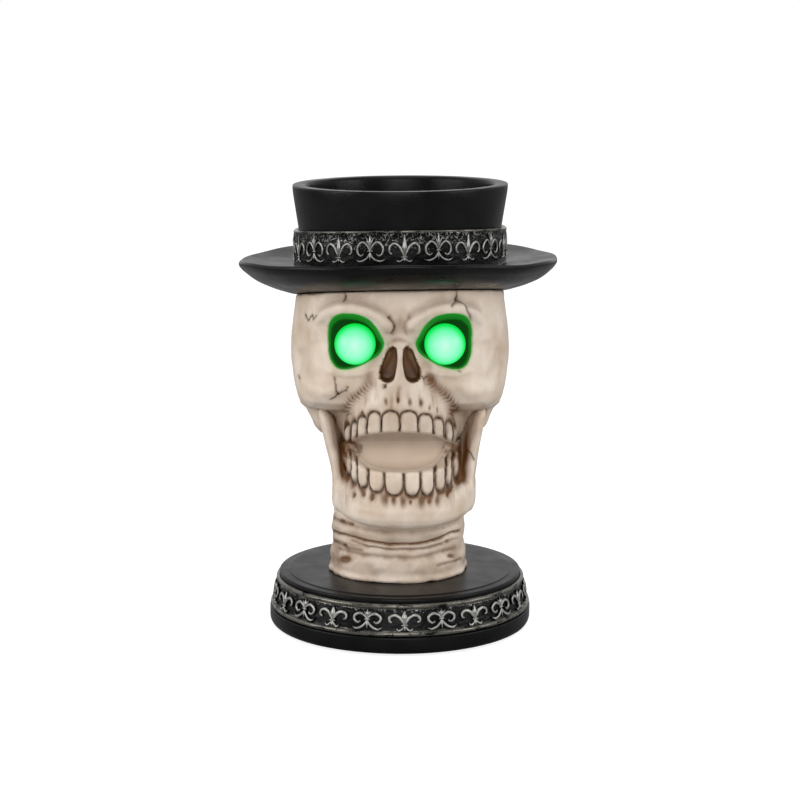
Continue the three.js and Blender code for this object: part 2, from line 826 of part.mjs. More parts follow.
// How far the face stands out at a place, beyond the plain form of the head
function relief(x, height) {
  const side = Math.abs(x) / craniumHalfWidth;
  const level = height / skullHeight;
  const arch = 0.955 - 0.35 * (side - 0.42) ** 2;
  const brow = browProud * bell(side - 0.42, 0.27) * bell(level - arch, 0.06);
  const glabella = glabellaProud * bell(side, 0.14) * bell(level - 0.9, 0.1);
  const cheek = cheekProud * bell(side - 0.68, 0.22) * bell(level - 0.38, 0.1);
  return brow + glabella + cheek;
}
function craniumRings() {
  return craniumShares.map((row) => {
    const capShare = Math.max(0, row.heightShare - 1);
    const points = oval({
      z: skullBase + (row.heightShare - capShare) * skullHeight + capShare * brimRise,
      halfWidth: row.widthShare * craniumHalfWidth,
      front: row.frontShare * craniumFront,
      back: row.backShare * craniumBack,
      power: row.power,
    });
    points.forEach((point) => {
      const facing = clamp(-point.y / craniumFront * 2, 0, 1);
      point.y -= relief(point.x, point.z - skullBase) * facing;
    });
    return points;
  });
}
const muzzleShares = columns([
  [0.195, 0.93, 0.945],
  [0.240, 0.985, 0.975],
  [0.300, 1.00, 0.99],
  [0.360, 0.96, 1.00],
  [0.430, 0.80, 1.00],
  [0.520, 0.60, 0.995],
  [0.610, 0.42, 0.985],
  [0.700, 0.30, 0.975],
  [0.770, 0.24, 0.945],
], ['heightShare', 'widthShare', 'frontShare']);
const muzzle = solid(loft(muzzleShares.map((row) => {
  const fade = clamp((muzzleShares.at(-2).heightShare - row.heightShare) / 0.4, 0, 1);
  const points = oval({
    z: skullBase + row.heightShare * skullHeight,
    halfWidth: row.widthShare * muzzleHalfWidth,
    front: row.frontShare * muzzleFront,
    back: muzzleBack,
    power: archPower,
  });
  points.forEach((point) => {
    point.z -= drop(-point.y) * fade;
  });
  return points;
})));

// Sockets: rounded squares on their outer side, drawn to a point towards the nose
const socketShares = [[1.75, 1.08], [1.4, 1.02], [1.28, 0.98], [1.12, 0.94], [1, 0.89]];
function socket(side) {
  const rings = socketShares.toReversed().map(([depthShare, spread]) => {
    const riseShare = clamp((depthShare - 1) / 0.4, 0, 1);
    const points = [];
    for (let i = 0; i < socketSides; i += 1) {
      const angle = turn * i / socketSides;
      const outer = Math.cos(angle) * side > 0;
      const power = outer ? 3.2 : 2;
      const across = Math.abs(Math.cos(angle)) ** (2 / power) * Math.sign(Math.cos(angle));
      const up = Math.abs(Math.sin(angle)) ** (2 / power) * Math.sign(Math.sin(angle));
      const lean = 0.1 * across * side;
      points.push(new THREE.Vector3(
        side * eyeSpacing / 2 + across * socketHalfWidth * spread,
        eyeLevel + riseShare * socketRise + (up * (1 + lean) + lean) * socketHalfHeight * spread,
        depthShare * socketFloorDepth,
      ));
    }
    return points;
  });
  return solid(loft(rings).rotateX(Math.PI / 2));
}

// Nose: two drops, narrow at the top and splayed at the foot
function nostril(side) {
  const depths = [muzzleFront - noseDepth, muzzleFront - noseDepth / 2, muzzleFront + overrun];
  const spreads = [0.6, 0.9, 1.05];
  return solid(loft(depths.map((depth, k) => {
    const points = [];
    for (let i = 0; i < nostrilSides; i += 1) {
      const angle = turn * i / nostrilSides;
      const up = Math.sin(angle);
      const across = Math.cos(angle) * (1 - 0.42 * up);
      points.push(new THREE.Vector3(
        side * (noseCentreX - noseSplay * up * spreads[k]) + across * noseHalfWidth * spreads[k],
        noseLevel + up * noseHalfHeight * spreads[k],
        depth,
      ));
    }
    return points;
  })).rotateX(Math.PI / 2));
}

// The underside and the top of the hat. The brim is lifted at the front and a little behind.
const brimTop = brimRise - brimDish;
const bandOuter = crownFootRadius + seatGap + hatBandThickness;
const brimSpan = brimRadius - bandOuter;
const undersideShares = [[0, 0.02], [0.22, 0.095], [0.5, 0.21], [0.72, 0.38], [0.88, 0.58], [0.97, 0.76]];
const underside = undersideShares.map(([out, up]) => [
  bandOuter + out * brimSpan,
  up * brimRise,
  'under',
]);
const brimProfile = [
  ...underside,
  [brimRadius, brimRise - brimEdge / 2, 'under'],
  [brimRadius - brimEdge / 8, brimRise - brimEdge / 8, 'over'],
  [brimRadius - brimEdge / 2, brimRise, 'over'],
  [brimRadius - brimEdge, brimRise - brimDish / 3, 'over'],
  [bandOuter + brimSpan / 2, brimTop, 'over'],
  [bandOuter + seatGap, brimTop, 'over'],
  [crownFootRadius, brimTop],
];
const lipProfile = [
  [crownRimRadius, hatHeight - lipRound],
  [crownRimRadius - lipRound / 3, hatHeight - lipRound / 3],
  [crownRimRadius - lipRound, hatHeight],
];
const bandTop = brimTop + hatBandHeight;

function brimLift([radius, , layer], azimuth) {
  if (!layer) return 0;
  const ahead = Math.max(0, Math.cos(azimuth));
  const edgeAhead = Math.max(0, Math.cos(azimuth + degToRad(5)));
  const behind = Math.max(0, -Math.cos(azimuth));
  const edgeLift = brimFrontLift * edgeAhead ** 2 + brimBackLift * behind ** 2;
  const seatLift = layer === 'under' ? seatFrontLift * ahead : 0;
  const reach = (radius - bandOuter) / brimSpan;
  return reach < 0 ? seatLift * radius / bandOuter : lerp(seatLift, edgeLift, reach);
}

const hatPose = new THREE.Matrix4()
  .makeTranslation(0, 0, hatSeat + brimRise)
  .multiply(new THREE.Matrix4().makeRotationY(-degToRad(hatTilt)))
  .multiply(new THREE.Matrix4().makeTranslation(0, 0, -brimRise));
const hatBlank = revolve([
  [0, 0, 'under'],
  ...brimProfile,
  [crownFootRadius, bandTop],
  ...lipProfile,
  [0, hatHeight],
], brimLift).applyMatrix4(hatPose);

// Bores for the wires: up the middle from the neck, and a bent one from it to each socket
const boreTop = eyeLevel + neckBore / 2;
const skullBore = solid(
  rod(neckBore, boreTop - skullBase + overrun).translate(0, boreBack, (boreTop + skullBase - overrun) / 2),
);
const lampBoreRadius = ledFlangeRadius + runningGap;
const bendDepth = socketFloorDepth - ledSunk - leadLength - wireBoreRadius;
function slantPoint(side, share) {
  return new THREE.Vector3(side * eyeSpacing / 2, -bendDepth - lampBoreRadius / 2, eyeLevel)
    .lerp(new THREE.Vector3(0, boreBack, eyeLevel), share);
}
function lampBore(side) {
  const straight = solid(
    rod(lampBoreRadius, socketFloorDepth - bendDepth + seatGap).rotateX(Math.PI / 2)
      .translate(side * eyeSpacing / 2, -(socketFloorDepth + bendDepth + seatGap) / 2, eyeLevel),
  );
  const along = slantPoint(side, 1).sub(slantPoint(side, 0));
  const slant = rod(lampBoreRadius, along.length())
    .applyQuaternion(new THREE.Quaternion().setFromUnitVectors(
      new THREE.Vector3(0, 0, 1),
      along.normalize(),
    ))
    .translate(...slantPoint(side, 0.5).toArray());
  return straight.add(solid(slant));
}
let skull = solid(loft(craniumRings())).add(muzzle).subtract(hollow);
upperTeeth.forEach((body) => { skull = skull.add(body); });
skull = skull
  .subtract(socket(-1))
  .subtract(socket(1))
  .subtract(nostril(-1))
  .subtract(nostril(1))
  .subtract(ramus(-1, seatGap).translate([jawShift, 0, 0]))
  .subtract(ramus(1, seatGap).translate([jawShift, 0, 0]))
  .subtract(neckSpace)
  .subtract(solid(hatBlank).translate([0, 0, -seatGap]))
  .subtract(skullBore)
  .subtract(lampBore(-1))
  .subtract(lampBore(1));
piece('skull', 'bone', skull);

// Hat: crown and brim in one, with the candle cup in the crown
const cupFloor = hatHeight - cupDepth;
const hatGroup = new THREE.Group();
hatGroup.position.set(0, 0, hatSeat + brimRise);
hatGroup.rotation.y = -degToRad(hatTilt);
const hatInner = new THREE.Group();
hatInner.position.z = -brimRise;
hatGroup.add(hatInner);
part.add(hatGroup);
piece('hat', 'black', revolve([
  [0, 0, 'under'],
  ...brimProfile,
  [crownFootRadius, bandTop],
  ...lipProfile,
  [cupRimRadius + lipRound, hatHeight],
  [cupRimRadius + lipRound / 3, hatHeight - lipRound / 3],
  [cupRimRadius, hatHeight - lipRound],
  [cupFloorRadius + lipRound / 3, cupFloor + lipRound],
  [cupFloorRadius - lipRound, cupFloor],
  [0, cupFloor],
], brimLift), hatInner);

// Hat band: a ring with round edges that stands proud of the crown
const bandInner = crownFootRadius + seatGap;
const bandFoot = brimTop + seatGap;
const bandHead = bandTop - seatGap;
piece('hat_band', 'silver', revolve([
  [bandInner, bandFoot],
  [bandOuter - hatBandRound, bandFoot],
  [bandOuter - hatBandRound / 3, bandFoot + hatBandRound],
  [bandOuter, lerp(bandFoot, bandHead, 0.4)],
  [bandOuter, lerp(bandFoot, bandHead, 0.75)],
  [bandOuter - hatBandRound / 3, bandHead - hatBandRound],
  [bandOuter - hatBandRound, bandHead],
  [bandInner, bandHead],
  [bandInner, bandFoot],
]), hatInner);

// Eyes: a frosted dome on the back of each socket, and a lamp inside it
const lampFoot = socketFloorDepth - ledSunk;
for (const [side, name] of [[-1, 'left'], [1, 'right']]) {
  const eye = new THREE.Group();
  eye.position.set(side * eyeSpacing / 2, 0, eyeLevel);
  eye.rotation.x = Math.PI / 2;
  part.add(eye);
  const skirt = socketFloorDepth + seatGap;
  const arc = (radius, from, to) => Array.from({ length: domeSteps }, (_, i) => {
    const angle = lerp(from, to, i / (domeSteps - 1));
    return [radius * Math.cos(angle), skirt + domeWall + radius * Math.sin(angle)];
  });
  piece(`eye_dome_${name}`, 'diffuser', revolve([
    [domeRadius - domeWall, skirt],
    [domeRadius, skirt],
    ...arc(domeRadius, 0, Math.PI / 2 * 0.999).slice(0, -1),
    [0, skirt + domeWall + domeRadius],
    [0, skirt + domeRadius],
    ...arc(domeRadius - domeWall, Math.PI / 2, 0).slice(1),
    [domeRadius - domeWall, skirt],
  ], null, domeSides), eye);
  const lamp = solid(revolve([
    [0, lampFoot],
    [ledFlangeRadius, lampFoot],
    [ledFlangeRadius, lampFoot + ledFlange],
    [ledRadius, lampFoot + ledFlange],
    [ledRadius, lampFoot + ledLength - ledRadius],
    [ledRadius * 0.7, lampFoot + ledLength - ledRadius * 0.3],
    [0, lampFoot + ledLength],
  ], null, smallSides));
  const leads = [-1, 1].map((end) => solid(
    rod(leadRadius, leadLength + ledFlange / 2, 6)
      .translate(end * ledRadius / 2, 0, lampFoot - leadLength / 2 + ledFlange / 4),
  ));
  piece(`eye_led_${name}`, 'lamp', lamp.add(leads[0]).add(leads[1]), eye);
}

// Wires: from behind each lamp through the skull and the neck to the roof of the battery box
for (const [side, name] of [[-1, 'left'], [1, 'right']]) {
  const start = lampFoot - leadLength - seatGap;
  const socketX = side * eyeSpacing / 2;
  const route = new THREE.CatmullRomCurve3([
    new THREE.Vector3(socketX, -start, eyeLevel),
    slantPoint(side, 0.12),
    slantPoint(side, 0.45),
    slantPoint(side, 0.75),
    new THREE.Vector3(side * wireSpread / 2, boreBack - wireSpread / 2, eyeLevel - wireSpread),
    new THREE.Vector3(side * wireSpread, boreBack, eyeLevel - 3 * wireSpread),
    new THREE.Vector3(side * wireSpread, boreBack, skullBase),
    new THREE.Vector3(side * wireSpread, boreBack, plinthTop + neckHeight / 2),
    new THREE.Vector3(side * wireSpread, boreBack, plinthTop),
    new THREE.Vector3(side * wireSpread / 4, boreBack, boxTop + cellRadius),
    new THREE.Vector3(side * wireSpread / 4, boreBack, bayRoof + seatGap),
  ]);
  piece(`eye_wire_${name}`, 'insulation', new THREE.ExtrudeGeometry(disc(wireRadius, wireSides), {
    extrudePath: route,
    steps: wireSteps,
  }));
}

export default part;
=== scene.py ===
import math

import bmesh
import bpy
import numpy as np
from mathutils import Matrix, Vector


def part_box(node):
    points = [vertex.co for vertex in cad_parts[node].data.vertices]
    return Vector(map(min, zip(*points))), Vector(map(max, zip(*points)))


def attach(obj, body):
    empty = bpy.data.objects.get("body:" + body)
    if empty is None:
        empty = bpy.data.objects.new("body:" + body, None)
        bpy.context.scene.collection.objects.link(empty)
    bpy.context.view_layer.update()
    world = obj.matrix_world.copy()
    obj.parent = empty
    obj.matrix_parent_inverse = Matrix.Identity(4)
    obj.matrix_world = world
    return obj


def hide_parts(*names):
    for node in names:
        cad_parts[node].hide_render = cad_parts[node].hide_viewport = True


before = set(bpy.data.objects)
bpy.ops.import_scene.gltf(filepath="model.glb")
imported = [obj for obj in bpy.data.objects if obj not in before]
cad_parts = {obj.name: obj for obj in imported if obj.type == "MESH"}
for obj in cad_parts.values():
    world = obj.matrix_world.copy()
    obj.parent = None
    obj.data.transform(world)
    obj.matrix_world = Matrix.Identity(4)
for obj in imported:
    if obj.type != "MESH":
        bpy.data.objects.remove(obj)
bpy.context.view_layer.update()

import openvdb
from mathutils import Vector, noise

scene = bpy.context.scene
scene.view_settings.view_transform = "Standard"
MM = 0.001


# Camera. The photograph is square and was taken from 1.23 m away, with a lens of about
# 95 mm on a 36 mm sensor, looking a little down on the candle holder.
PHOTO_SIDE = 800
FOCAL_PIXELS = 2121
CAMERA_AWAY = 1228
CAMERA_HEIGHT = 356.7
CAMERA_PITCH = math.radians(10.3)


def add_object(name, data):
    """A new object in the scene."""
    new = bpy.data.objects.new(name, data)
    scene.collection.objects.link(new)
    return new


camera = add_object("camera", bpy.data.cameras.new("camera"))
camera.data.sensor_width = 36
camera.data.lens = camera.data.sensor_width * FOCAL_PIXELS / PHOTO_SIDE
camera.location = (0, -CAMERA_AWAY * MM, CAMERA_HEIGHT * MM)
camera.rotation_euler = (math.pi / 2 - CAMERA_PITCH, 0, 0)
scene.camera = camera


def photo_place(x, y, z):
    """The pixel of the photograph, across and down, on which a point in millimetres falls."""
    ahead = y + CAMERA_AWAY
    below = CAMERA_HEIGHT - z
    depth = ahead * math.cos(CAMERA_PITCH) + below * math.sin(CAMERA_PITCH)
    drop = below * math.cos(CAMERA_PITCH) - ahead * math.sin(CAMERA_PITCH)
    middle = PHOTO_SIDE / 2
    return middle + FOCAL_PIXELS * x / depth, middle + FOCAL_PIXELS * drop / depth


# Studio. A sheet of matt white paper in an even white room, under square soft boxes: one on each
# side, one above and one in front. The paper glows a little for the camera, which keeps it white.
def linear(colour):
    """An sRGB hex colour as the linear one that a shader's socket takes."""
    channels = [int(colour[i:i + 2], 16) / 255 for i in (1, 3, 5)]
    return [c / 12.92 if c <= 0.04045 else ((c + 0.055) / 1.055) ** 2.4 for c in channels] + [1]


def fill(node, inputs):
    """Sets a node's inputs, given by name or number. A socket, or a node's first output, is linked."""
    for name, value in inputs.items():
        if isinstance(value, bpy.types.Node):
            value = next(output for output in value.outputs if output.enabled)
        if isinstance(value, bpy.types.NodeSocket):
            node.id_data.links.new(value, node.inputs[name])
        else:
            node.inputs[name].default_value = value
    return node


def add_node(tree, kind, inputs=(), **settings):
    """Adds a node with its settings, its values and its links."""
    node = tree.nodes.new(kind)
    for name, value in settings.items():
        setattr(node, name, value)
    return fill(node, dict(inputs))


PAPER_COLOUR = "#A0A0A0"
PAPER_RADIUS = 6
PAPER_GLOW = 0.82
SIDE_LIGHT = 0.85
FRONT_LIGHT = 0.14
WHITE = linear("#FFFFFF")

paper = bpy.data.materials.new("matte_white_paper")
paper.use_nodes = True
tree = paper.node_tree
seen = add_node(tree, "ShaderNodeLightPath").outputs["Is Camera Ray"]
glow = add_node(tree, "ShaderNodeMath", {0: seen, 1: PAPER_GLOW}, operation="MULTIPLY")
fill(tree.nodes["Principled BSDF"], {
    "Base Color": linear(PAPER_COLOUR),
    "Roughness": 1,
    "Specular IOR Level": 0,
    "Emission Color": WHITE,
    "Emission Strength": glow,
})

bpy.ops.mesh.primitive_circle_add(vertices=64, radius=PAPER_RADIUS, fill_type="NGON")
floor = bpy.context.object
floor.name = "paper_floor"
floor.data.materials.append(paper)

world = bpy.data.worlds.new("white_room")
scene.world = world
world.use_nodes = True
tree = world.node_tree
seen = add_node(tree, "ShaderNodeLightPath").outputs["Is Camera Ray"]
direction = add_node(tree, "ShaderNodeTexCoord").outputs["Generated"]
split = add_node(tree, "ShaderNodeSeparateXYZ", {0: direction})
room = add_node(tree, "ShaderNodeMapRange", {
    "Value": split.outputs["Y"],
    "From Min": -0.95,
    "From Max": 0.1,
    "To Min": FRONT_LIGHT,
    "To Max": SIDE_LIGHT,
}, interpolation_type="SMOOTHSTEP")
strength = add_node(tree, "ShaderNodeMix", {"Factor": seen, "A": room, "B": 1}, data_type="FLOAT")
fill(tree.nodes["Background"], {"Color": WHITE, "Strength": strength})

SOFT_BOXES = {
    "left_box": ((-1.15, -0.5, 0.5), 0.8, 7.5),
    "right_box": ((1.15, -0.5, 0.5), 0.8, 6.2),
    "top_box": ((0, -0.25, 1.4), 0.7, 5),
    "front_box": ((0, -1.4, 0.52), 0.95, 9.8),
}
FOCUS = Vector((0, 0, 0.15))
for name, (place, side, power) in SOFT_BOXES.items():
    lamp = add_object(name, bpy.data.lights.new(name, "AREA"))
    lamp.data.shape = "SQUARE"
    lamp.data.size = side
    lamp.data.energy = power
    lamp.location = place
    lamp.rotation_euler = (FOCUS - lamp.location).to_track_quat("-Z", "Y").to_euler()


# Plinth: a turned disc of cast resin, painted semi-gloss black, with a rounded moulding over the
# step for its band. A pocket under it takes the battery box.
def fillet(corners, steps=5):
    """A profile whose corners, [radius, height, rounding] in millimetres, are rounded off."""
    profile = []
    for before, (r, z, rounding), after in zip([None, *corners[:-1]], corners, [*corners[1:], None]):
        corner = Vector((r, z))
        if not rounding:
            profile.append(corner)
            continue
        back = Vector(before[:2]) - corner
        ahead = Vector(after[:2]) - corner
        reach = min(rounding, back.length / 2, ahead.length / 2)
        start = corner + back.normalized() * reach
        end = corner + ahead.normalized() * reach
        for i in range(steps + 1):
            share = i / steps
            near = start.lerp(corner, share)
            profile.append(near.lerp(corner.lerp(end, share), share))
    return profile


MERGE_DISTANCE = 0.01 * MM
SLIVER_WIDTH = 0.005 * MM


def turn(name, profile, sides, shape=None):
    """A profile of (radius, height) in millimetres turned round Z. It ends on the axis or closes."""
    angles = np.arange(sides) * 2 * math.pi / sides
    closed = (profile[0] - profile[-1]).length < 1e-6
    if closed:
        profile = profile[:-1]
    count = len(profile)
    radius = np.array([p.x for p in profile])[:, None] + 0 * angles
    height = np.array([p.y for p in profile])[:, None] + 0 * angles
    azimuth = angles[None, :] + 0 * radius
    if shape:
        radius, height = shape(radius, height, azimuth)
    points = np.stack([radius * np.sin(azimuth), -radius * np.cos(azimuth), height], -1)
    faces = []
    for i in range(count if closed else count - 1):
        k = (i + 1) % count
        for j in range(sides):
            n = (j + 1) % sides
            faces.append((i * sides + j, i * sides + n, k * sides + n, k * sides + j))
    mesh = bpy.data.meshes.new(name)
    mesh.from_pydata((points.reshape(-1, 3) * MM).tolist(), [], faces)
    body = bmesh.new()
    body.from_mesh(mesh)
    bmesh.ops.remove_doubles(body, verts=body.verts, dist=MERGE_DISTANCE)
    bmesh.ops.dissolve_degenerate(body, edges=body.edges, dist=SLIVER_WIDTH)
    bmesh.ops.recalc_face_normals(body, faces=body.faces)
    body.to_mesh(mesh)
    body.free()
    mesh.shade_smooth()
    return add_object(name, mesh)


FIGURE = "figure"


def settle(piece, material, slot, *nodes, body=FIGURE):
    """Gives a finished piece its material and body, and hides the CAD nodes that it stands for; the slot
    is not used.
    """
    if material:
        piece.data.materials.clear()
        piece.data.materials.append(material)
    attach(piece, body)
    if nodes:
        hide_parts(*nodes)


def size_of(node):
    """The low and high corners of a CAD node in millimetres."""
    low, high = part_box(node)
    return low / MM, high / MM


def start_material(name):
    """A new material, its tree, its Principled shader and the places on a piece that wears it."""
    material = bpy.data.materials.new(name)
    material.use_nodes = True
    tree = material.node_tree
    place = add_node(tree, "ShaderNodeTexCoord").outputs["Object"]
    return material, tree, tree.nodes["Principled BSDF"], place


# Black acrylic paint on cast resin: nearly black, semi-gloss, with the soft unevenness of brushed
# paint, which breaks up the reflections, and dull patches where the sheen varies.
black_paint, tree, shader, place = start_material("semi_gloss_black_paint")
blotches = add_node(tree, "ShaderNodeTexNoise", {"Vector": place, "Scale": 1 / (14 * MM), "Detail": 4})
shade = add_node(tree, "ShaderNodeMapRange", {
    "Value": blotches, "From Min": 0.35, "From Max": 0.75, "To Max": 0.55,
})
tint = add_node(tree, "ShaderNodeMix", {
    "Factor": shade, "A": linear("#060607"), "B": linear("#0F1012"),
}, data_type="RGBA")
sheen = add_node(tree, "ShaderNodeMapRange", {
    "Value": blotches, "From Min": 0.3, "From Max": 0.7, "To Min": 0.25, "To Max": 0.37,
})
brushing = add_node(tree, "ShaderNodeTexNoise", {"Vector": place, "Scale": 1 / (2.5 * MM), "Detail": 6})
bump = add_node(tree, "ShaderNodeBump", {"Height": brushing, "Strength": 0.25, "Distance": 0.35 * MM})
fill(shader, {"Base Color": tint, "Roughness": sheen, "Normal": bump, "IOR": 1.23})

plinth_low, plinth_high = size_of("plinth")
band_low, band_high = size_of("plinth_band")
BAND_DROP = 0.6
band_low.z -= BAND_DROP
PLINTH_RADIUS = plinth_high.y
PLINTH_TOP = plinth_high.z
STEP_RADIUS = PLINTH_RADIUS - 6.5
CAP_RADIUS = PLINTH_RADIUS - 5.9
STEP_GAP = 0.3
foot_top = band_low.z - STEP_GAP
step_top = band_high.z + STEP_GAP


def uneven_plinth(radius, height, azimuth):
    """The casting isn't quite true: its foot and its edges wander by a fraction of a millimetre."""
    wander = 0.12 * np.sin(3 * azimuth + 1) + 0.08 * np.sin(7 * azimuth + height / 5)
    return radius + wander * (radius > STEP_RADIUS), height


plinth = turn("plinth_turned", fillet([
    (0, plinth_low.z, 0),
    (PLINTH_RADIUS - 1.4, plinth_low.z, 1),
    (PLINTH_RADIUS, plinth_low.z + 2.2, 2),
    (PLINTH_RADIUS, foot_top, 0.8),
    (STEP_RADIUS, foot_top, 0.3),
    (STEP_RADIUS, step_top, 0.3),
    (CAP_RADIUS, step_top, 0.6),
    (CAP_RADIUS, PLINTH_TOP - 0.7, 3),
    (CAP_RADIUS - 5.2, PLINTH_TOP - 0.5, 0.8),
    (CAP_RADIUS - 5.7, PLINTH_TOP, 0.5),
    (CAP_RADIUS - 12, PLINTH_TOP, 0),
    (0, PLINTH_TOP, 0),
]), 224, uneven_plinth)


def cut_block(piece, low, high):
    """Cuts a block, between two corners in millimetres, out of a piece."""
    bpy.ops.mesh.primitive_cube_add(size=1)
    cutter = bpy.context.object
    low, high = Vector(low), Vector(high)
    for corner in cutter.data.vertices:
        for i in range(3):
            corner.co[i] = (low[i] + high[i]) / 2 * MM + corner.co[i] * (high[i] - low[i]) * MM
    boolean = piece.modifiers.new("cut", "BOOLEAN")
    boolean.object = cutter
    boolean.solver = "EXACT"
    apply_modifiers(piece)
    bpy.data.objects.remove(cutter)


def apply_modifiers(piece):
    """Turns a piece with its modifiers into a plain mesh."""
    view = bpy.context.evaluated_depsgraph_get()
    mesh = bpy.data.meshes.new_from_object(piece.evaluated_get(view), depsgraph=view)
    piece.modifiers.clear()
    piece.data = mesh


POCKET_GAP = 0.35
FLANGE_TOP = 3
FLANGE_MARGIN = 5
EAR_DEPTH = 3
EAR_MARGIN = 0.5
DOOR_ROOM = 2
SHARP_ANGLE = math.radians(40)
FLAT_FROM = 0.999
box_low, box_high = size_of("battery_box")
door_low, door_high = size_of("battery_door")
screw_low, screw_high = size_of("box_screw_1")
below = plinth_low.z - 1
for low, high in [
    (
        (box_low.x - POCKET_GAP, box_low.y + EAR_DEPTH - POCKET_GAP, below),
        (box_high.x + POCKET_GAP, box_high.y - EAR_DEPTH + POCKET_GAP, FLANGE_TOP + POCKET_GAP),
    ),
    (
        (box_low.x + FLANGE_MARGIN - POCKET_GAP, door_low.y - DOOR_ROOM, below),
        (box_high.x - FLANGE_MARGIN + POCKET_GAP, door_high.y + DOOR_ROOM, box_high.z + POCKET_GAP),
    ),
    (
        (screw_low.x - EAR_MARGIN - POCKET_GAP, box_low.y - POCKET_GAP, below),
        (screw_high.x + EAR_MARGIN + POCKET_GAP, box_high.y + POCKET_GAP, FLANGE_TOP + POCKET_GAP),
    ),
]:
    cut_block(plinth, low, high)
plinth.data.set_sharp_from_angle(angle=SHARP_ANGLE)
for face in plinth.data.polygons:
    face.use_smooth = abs(face.normal.z) < FLAT_FROM
settle(plinth, black_paint, "black_resin", "plinth")


# Hat: crown and brim in one resin casting, painted black. The crown is open at the top and its
# inside is the cup for the candle. The brim dips at the sides and is turned up in front.
HAT_SEAT = 197.3
BRIM_RISE = 18.4
HAT_HEIGHT = 62.7
CROWN_FOOT = 58.7
CROWN_RIM = 62.3
CUP_RIM = 54.5
CUP_FLOOR = 52
CUP_DEPTH = 30
BRIM_RADIUS = size_of("hat")[1].y
BRIM_EDGE = 4.6
BRIM_DISH = 1.4
FRONT_LIFT = 8.3
FRONT_POWER = 1.4
BACK_LIFT = 2.6
SIDE_LIFT = 1.9
SIDE_SLANT = 0.8
SIDE_POWERS = (5, 1.3)
EDGE_WAVES = (0.35, 0.25)
EDGE_WANDER = 0.3
EDGE_FROM = 0.8
BRIM_SHIFT = 1.1
CROWN_LEAN = 0.022
CROWN_STRETCH = 0.02
CROWN_SLANT = 0.018
SEAT_LIFT = 9.2
BAND_RADIUS = 62.1
HAT_TILT = math.radians(1.15)
EDGE_TURN = math.radians(5)


def bend_hat(radius, height, azimuth):
    """Lifts the brim in front, behind and at its tips, and lets its edge wander."""
    ahead = np.maximum(0, np.cos(azimuth))
    edge_ahead = np.maximum(0, np.cos(azimuth + EDGE_TURN))
    behind = np.maximum(0, -np.cos(azimuth))
    side = np.sin(azimuth)
    edge_lift = FRONT_LIFT * edge_ahead ** FRONT_POWER + BACK_LIFT * behind ** 2
    power = np.where(np.cos(azimuth) > 0, *SIDE_POWERS)
    edge_lift = edge_lift + (SIDE_LIFT - SIDE_SLANT * side) * np.abs(side) ** power
    reach = (radius - BAND_RADIUS) / (BRIM_RADIUS - BAND_RADIUS)
    over = height > BRIM_RISE - BRIM_EDGE / 2 - 0.01
    seat_lift = np.where(over, 0, SEAT_LIFT * ahead)
    under_head = seat_lift * radius / BAND_RADIUS
    lift = np.where(reach < 0, under_head, seat_lift + (edge_lift - seat_lift) * reach)
    crown = (radius <= BAND_RADIUS + 0.5) & over
    lift = np.where(crown | (height > BRIM_RISE + 1), 0, lift)
    wave = EDGE_WAVES[0] * np.sin(5 * azimuth + 0.7) + EDGE_WAVES[1] * np.sin(11 * azimuth + 2)
    lift = lift + np.where(crown, 0, wave * np.clip(reach, 0, 1))
    wander = EDGE_WANDER * np.sin(4 * azimuth) * (reach - EDGE_FROM) * 5
    radius = radius + np.where(reach > EDGE_FROM, wander, 0)
    radius = radius - BRIM_SHIFT * side * np.clip(reach, 0, 1)
    return radius, height + lift


def tilt_hat(piece):
    """Sets a piece of the hat, made upright on its seat, to the hat's tilt."""
    pivot = Vector((0, 0, (HAT_SEAT + BRIM_RISE) * MM))
    for corner in piece.data.vertices:
        x, y, z = corner.co + Vector((0, 0, HAT_SEAT * MM)) - pivot
        above = max(0, z)
        stretch = CROWN_STRETCH - CROWN_SLANT * x / (CROWN_RIM * MM)
        leant = x * math.cos(HAT_TILT) - z * math.sin(HAT_TILT) + CROWN_LEAN * above
        raised = x * math.sin(HAT_TILT) + z * math.cos(HAT_TILT) + stretch * above
        corner.co = Vector((leant, y, raised)) + pivot


hat_corners = [
    (0, 0, 0),
    (BAND_RADIUS - 2, 0, 0),
    (BAND_RADIUS + 2, 0.6, 3),
    (BAND_RADIUS + 10, 2.6, 4),
    (BAND_RADIUS + 21, 7, 6),
    (BRIM_RADIUS - 2, 13.2, 3),
    (BRIM_RADIUS, BRIM_RISE - BRIM_EDGE / 2, 1.5),
    (BRIM_RADIUS - 0.7, BRIM_RISE, 1.6),
    (BRIM_RADIUS - 5, BRIM_RISE - 0.4, 2.5),
    (BRIM_RADIUS - 14, BRIM_RISE - BRIM_DISH, 5),
    (BAND_RADIUS + 1, BRIM_RISE - BRIM_DISH, 0),
    (CROWN_FOOT, BRIM_RISE - BRIM_DISH, 0.4),
    (CROWN_FOOT, BRIM_RISE + 19, 1),
    (CROWN_RIM - 0.2, HAT_HEIGHT - 4, 4),
    (CROWN_RIM, HAT_HEIGHT, 1),
    (CUP_RIM, HAT_HEIGHT, 2.2),
    (CUP_RIM - 0.6, HAT_HEIGHT - 6, 2),
    (CUP_FLOOR, HAT_HEIGHT - CUP_DEPTH, 2),
    (0, HAT_HEIGHT - CUP_DEPTH, 0),
]
hat = turn("top_hat", fillet(hat_corners, 6), 256, bend_hat)
tilt_hat(hat)
settle(hat, black_paint, "black_resin", "hat")


# Plinth band: a conical frieze between two beads, cast, painted black and then rubbed over with
# silver, so that the ground stays dark and what stands up is bright.
def set_attribute(mesh, name, values):
    """Writes one number per vertex for a shader to read."""
    layer = mesh.attributes.new(name, "FLOAT", "POINT")
    layer.data.foreach_set("value", np.asarray(values, dtype=np.float32))


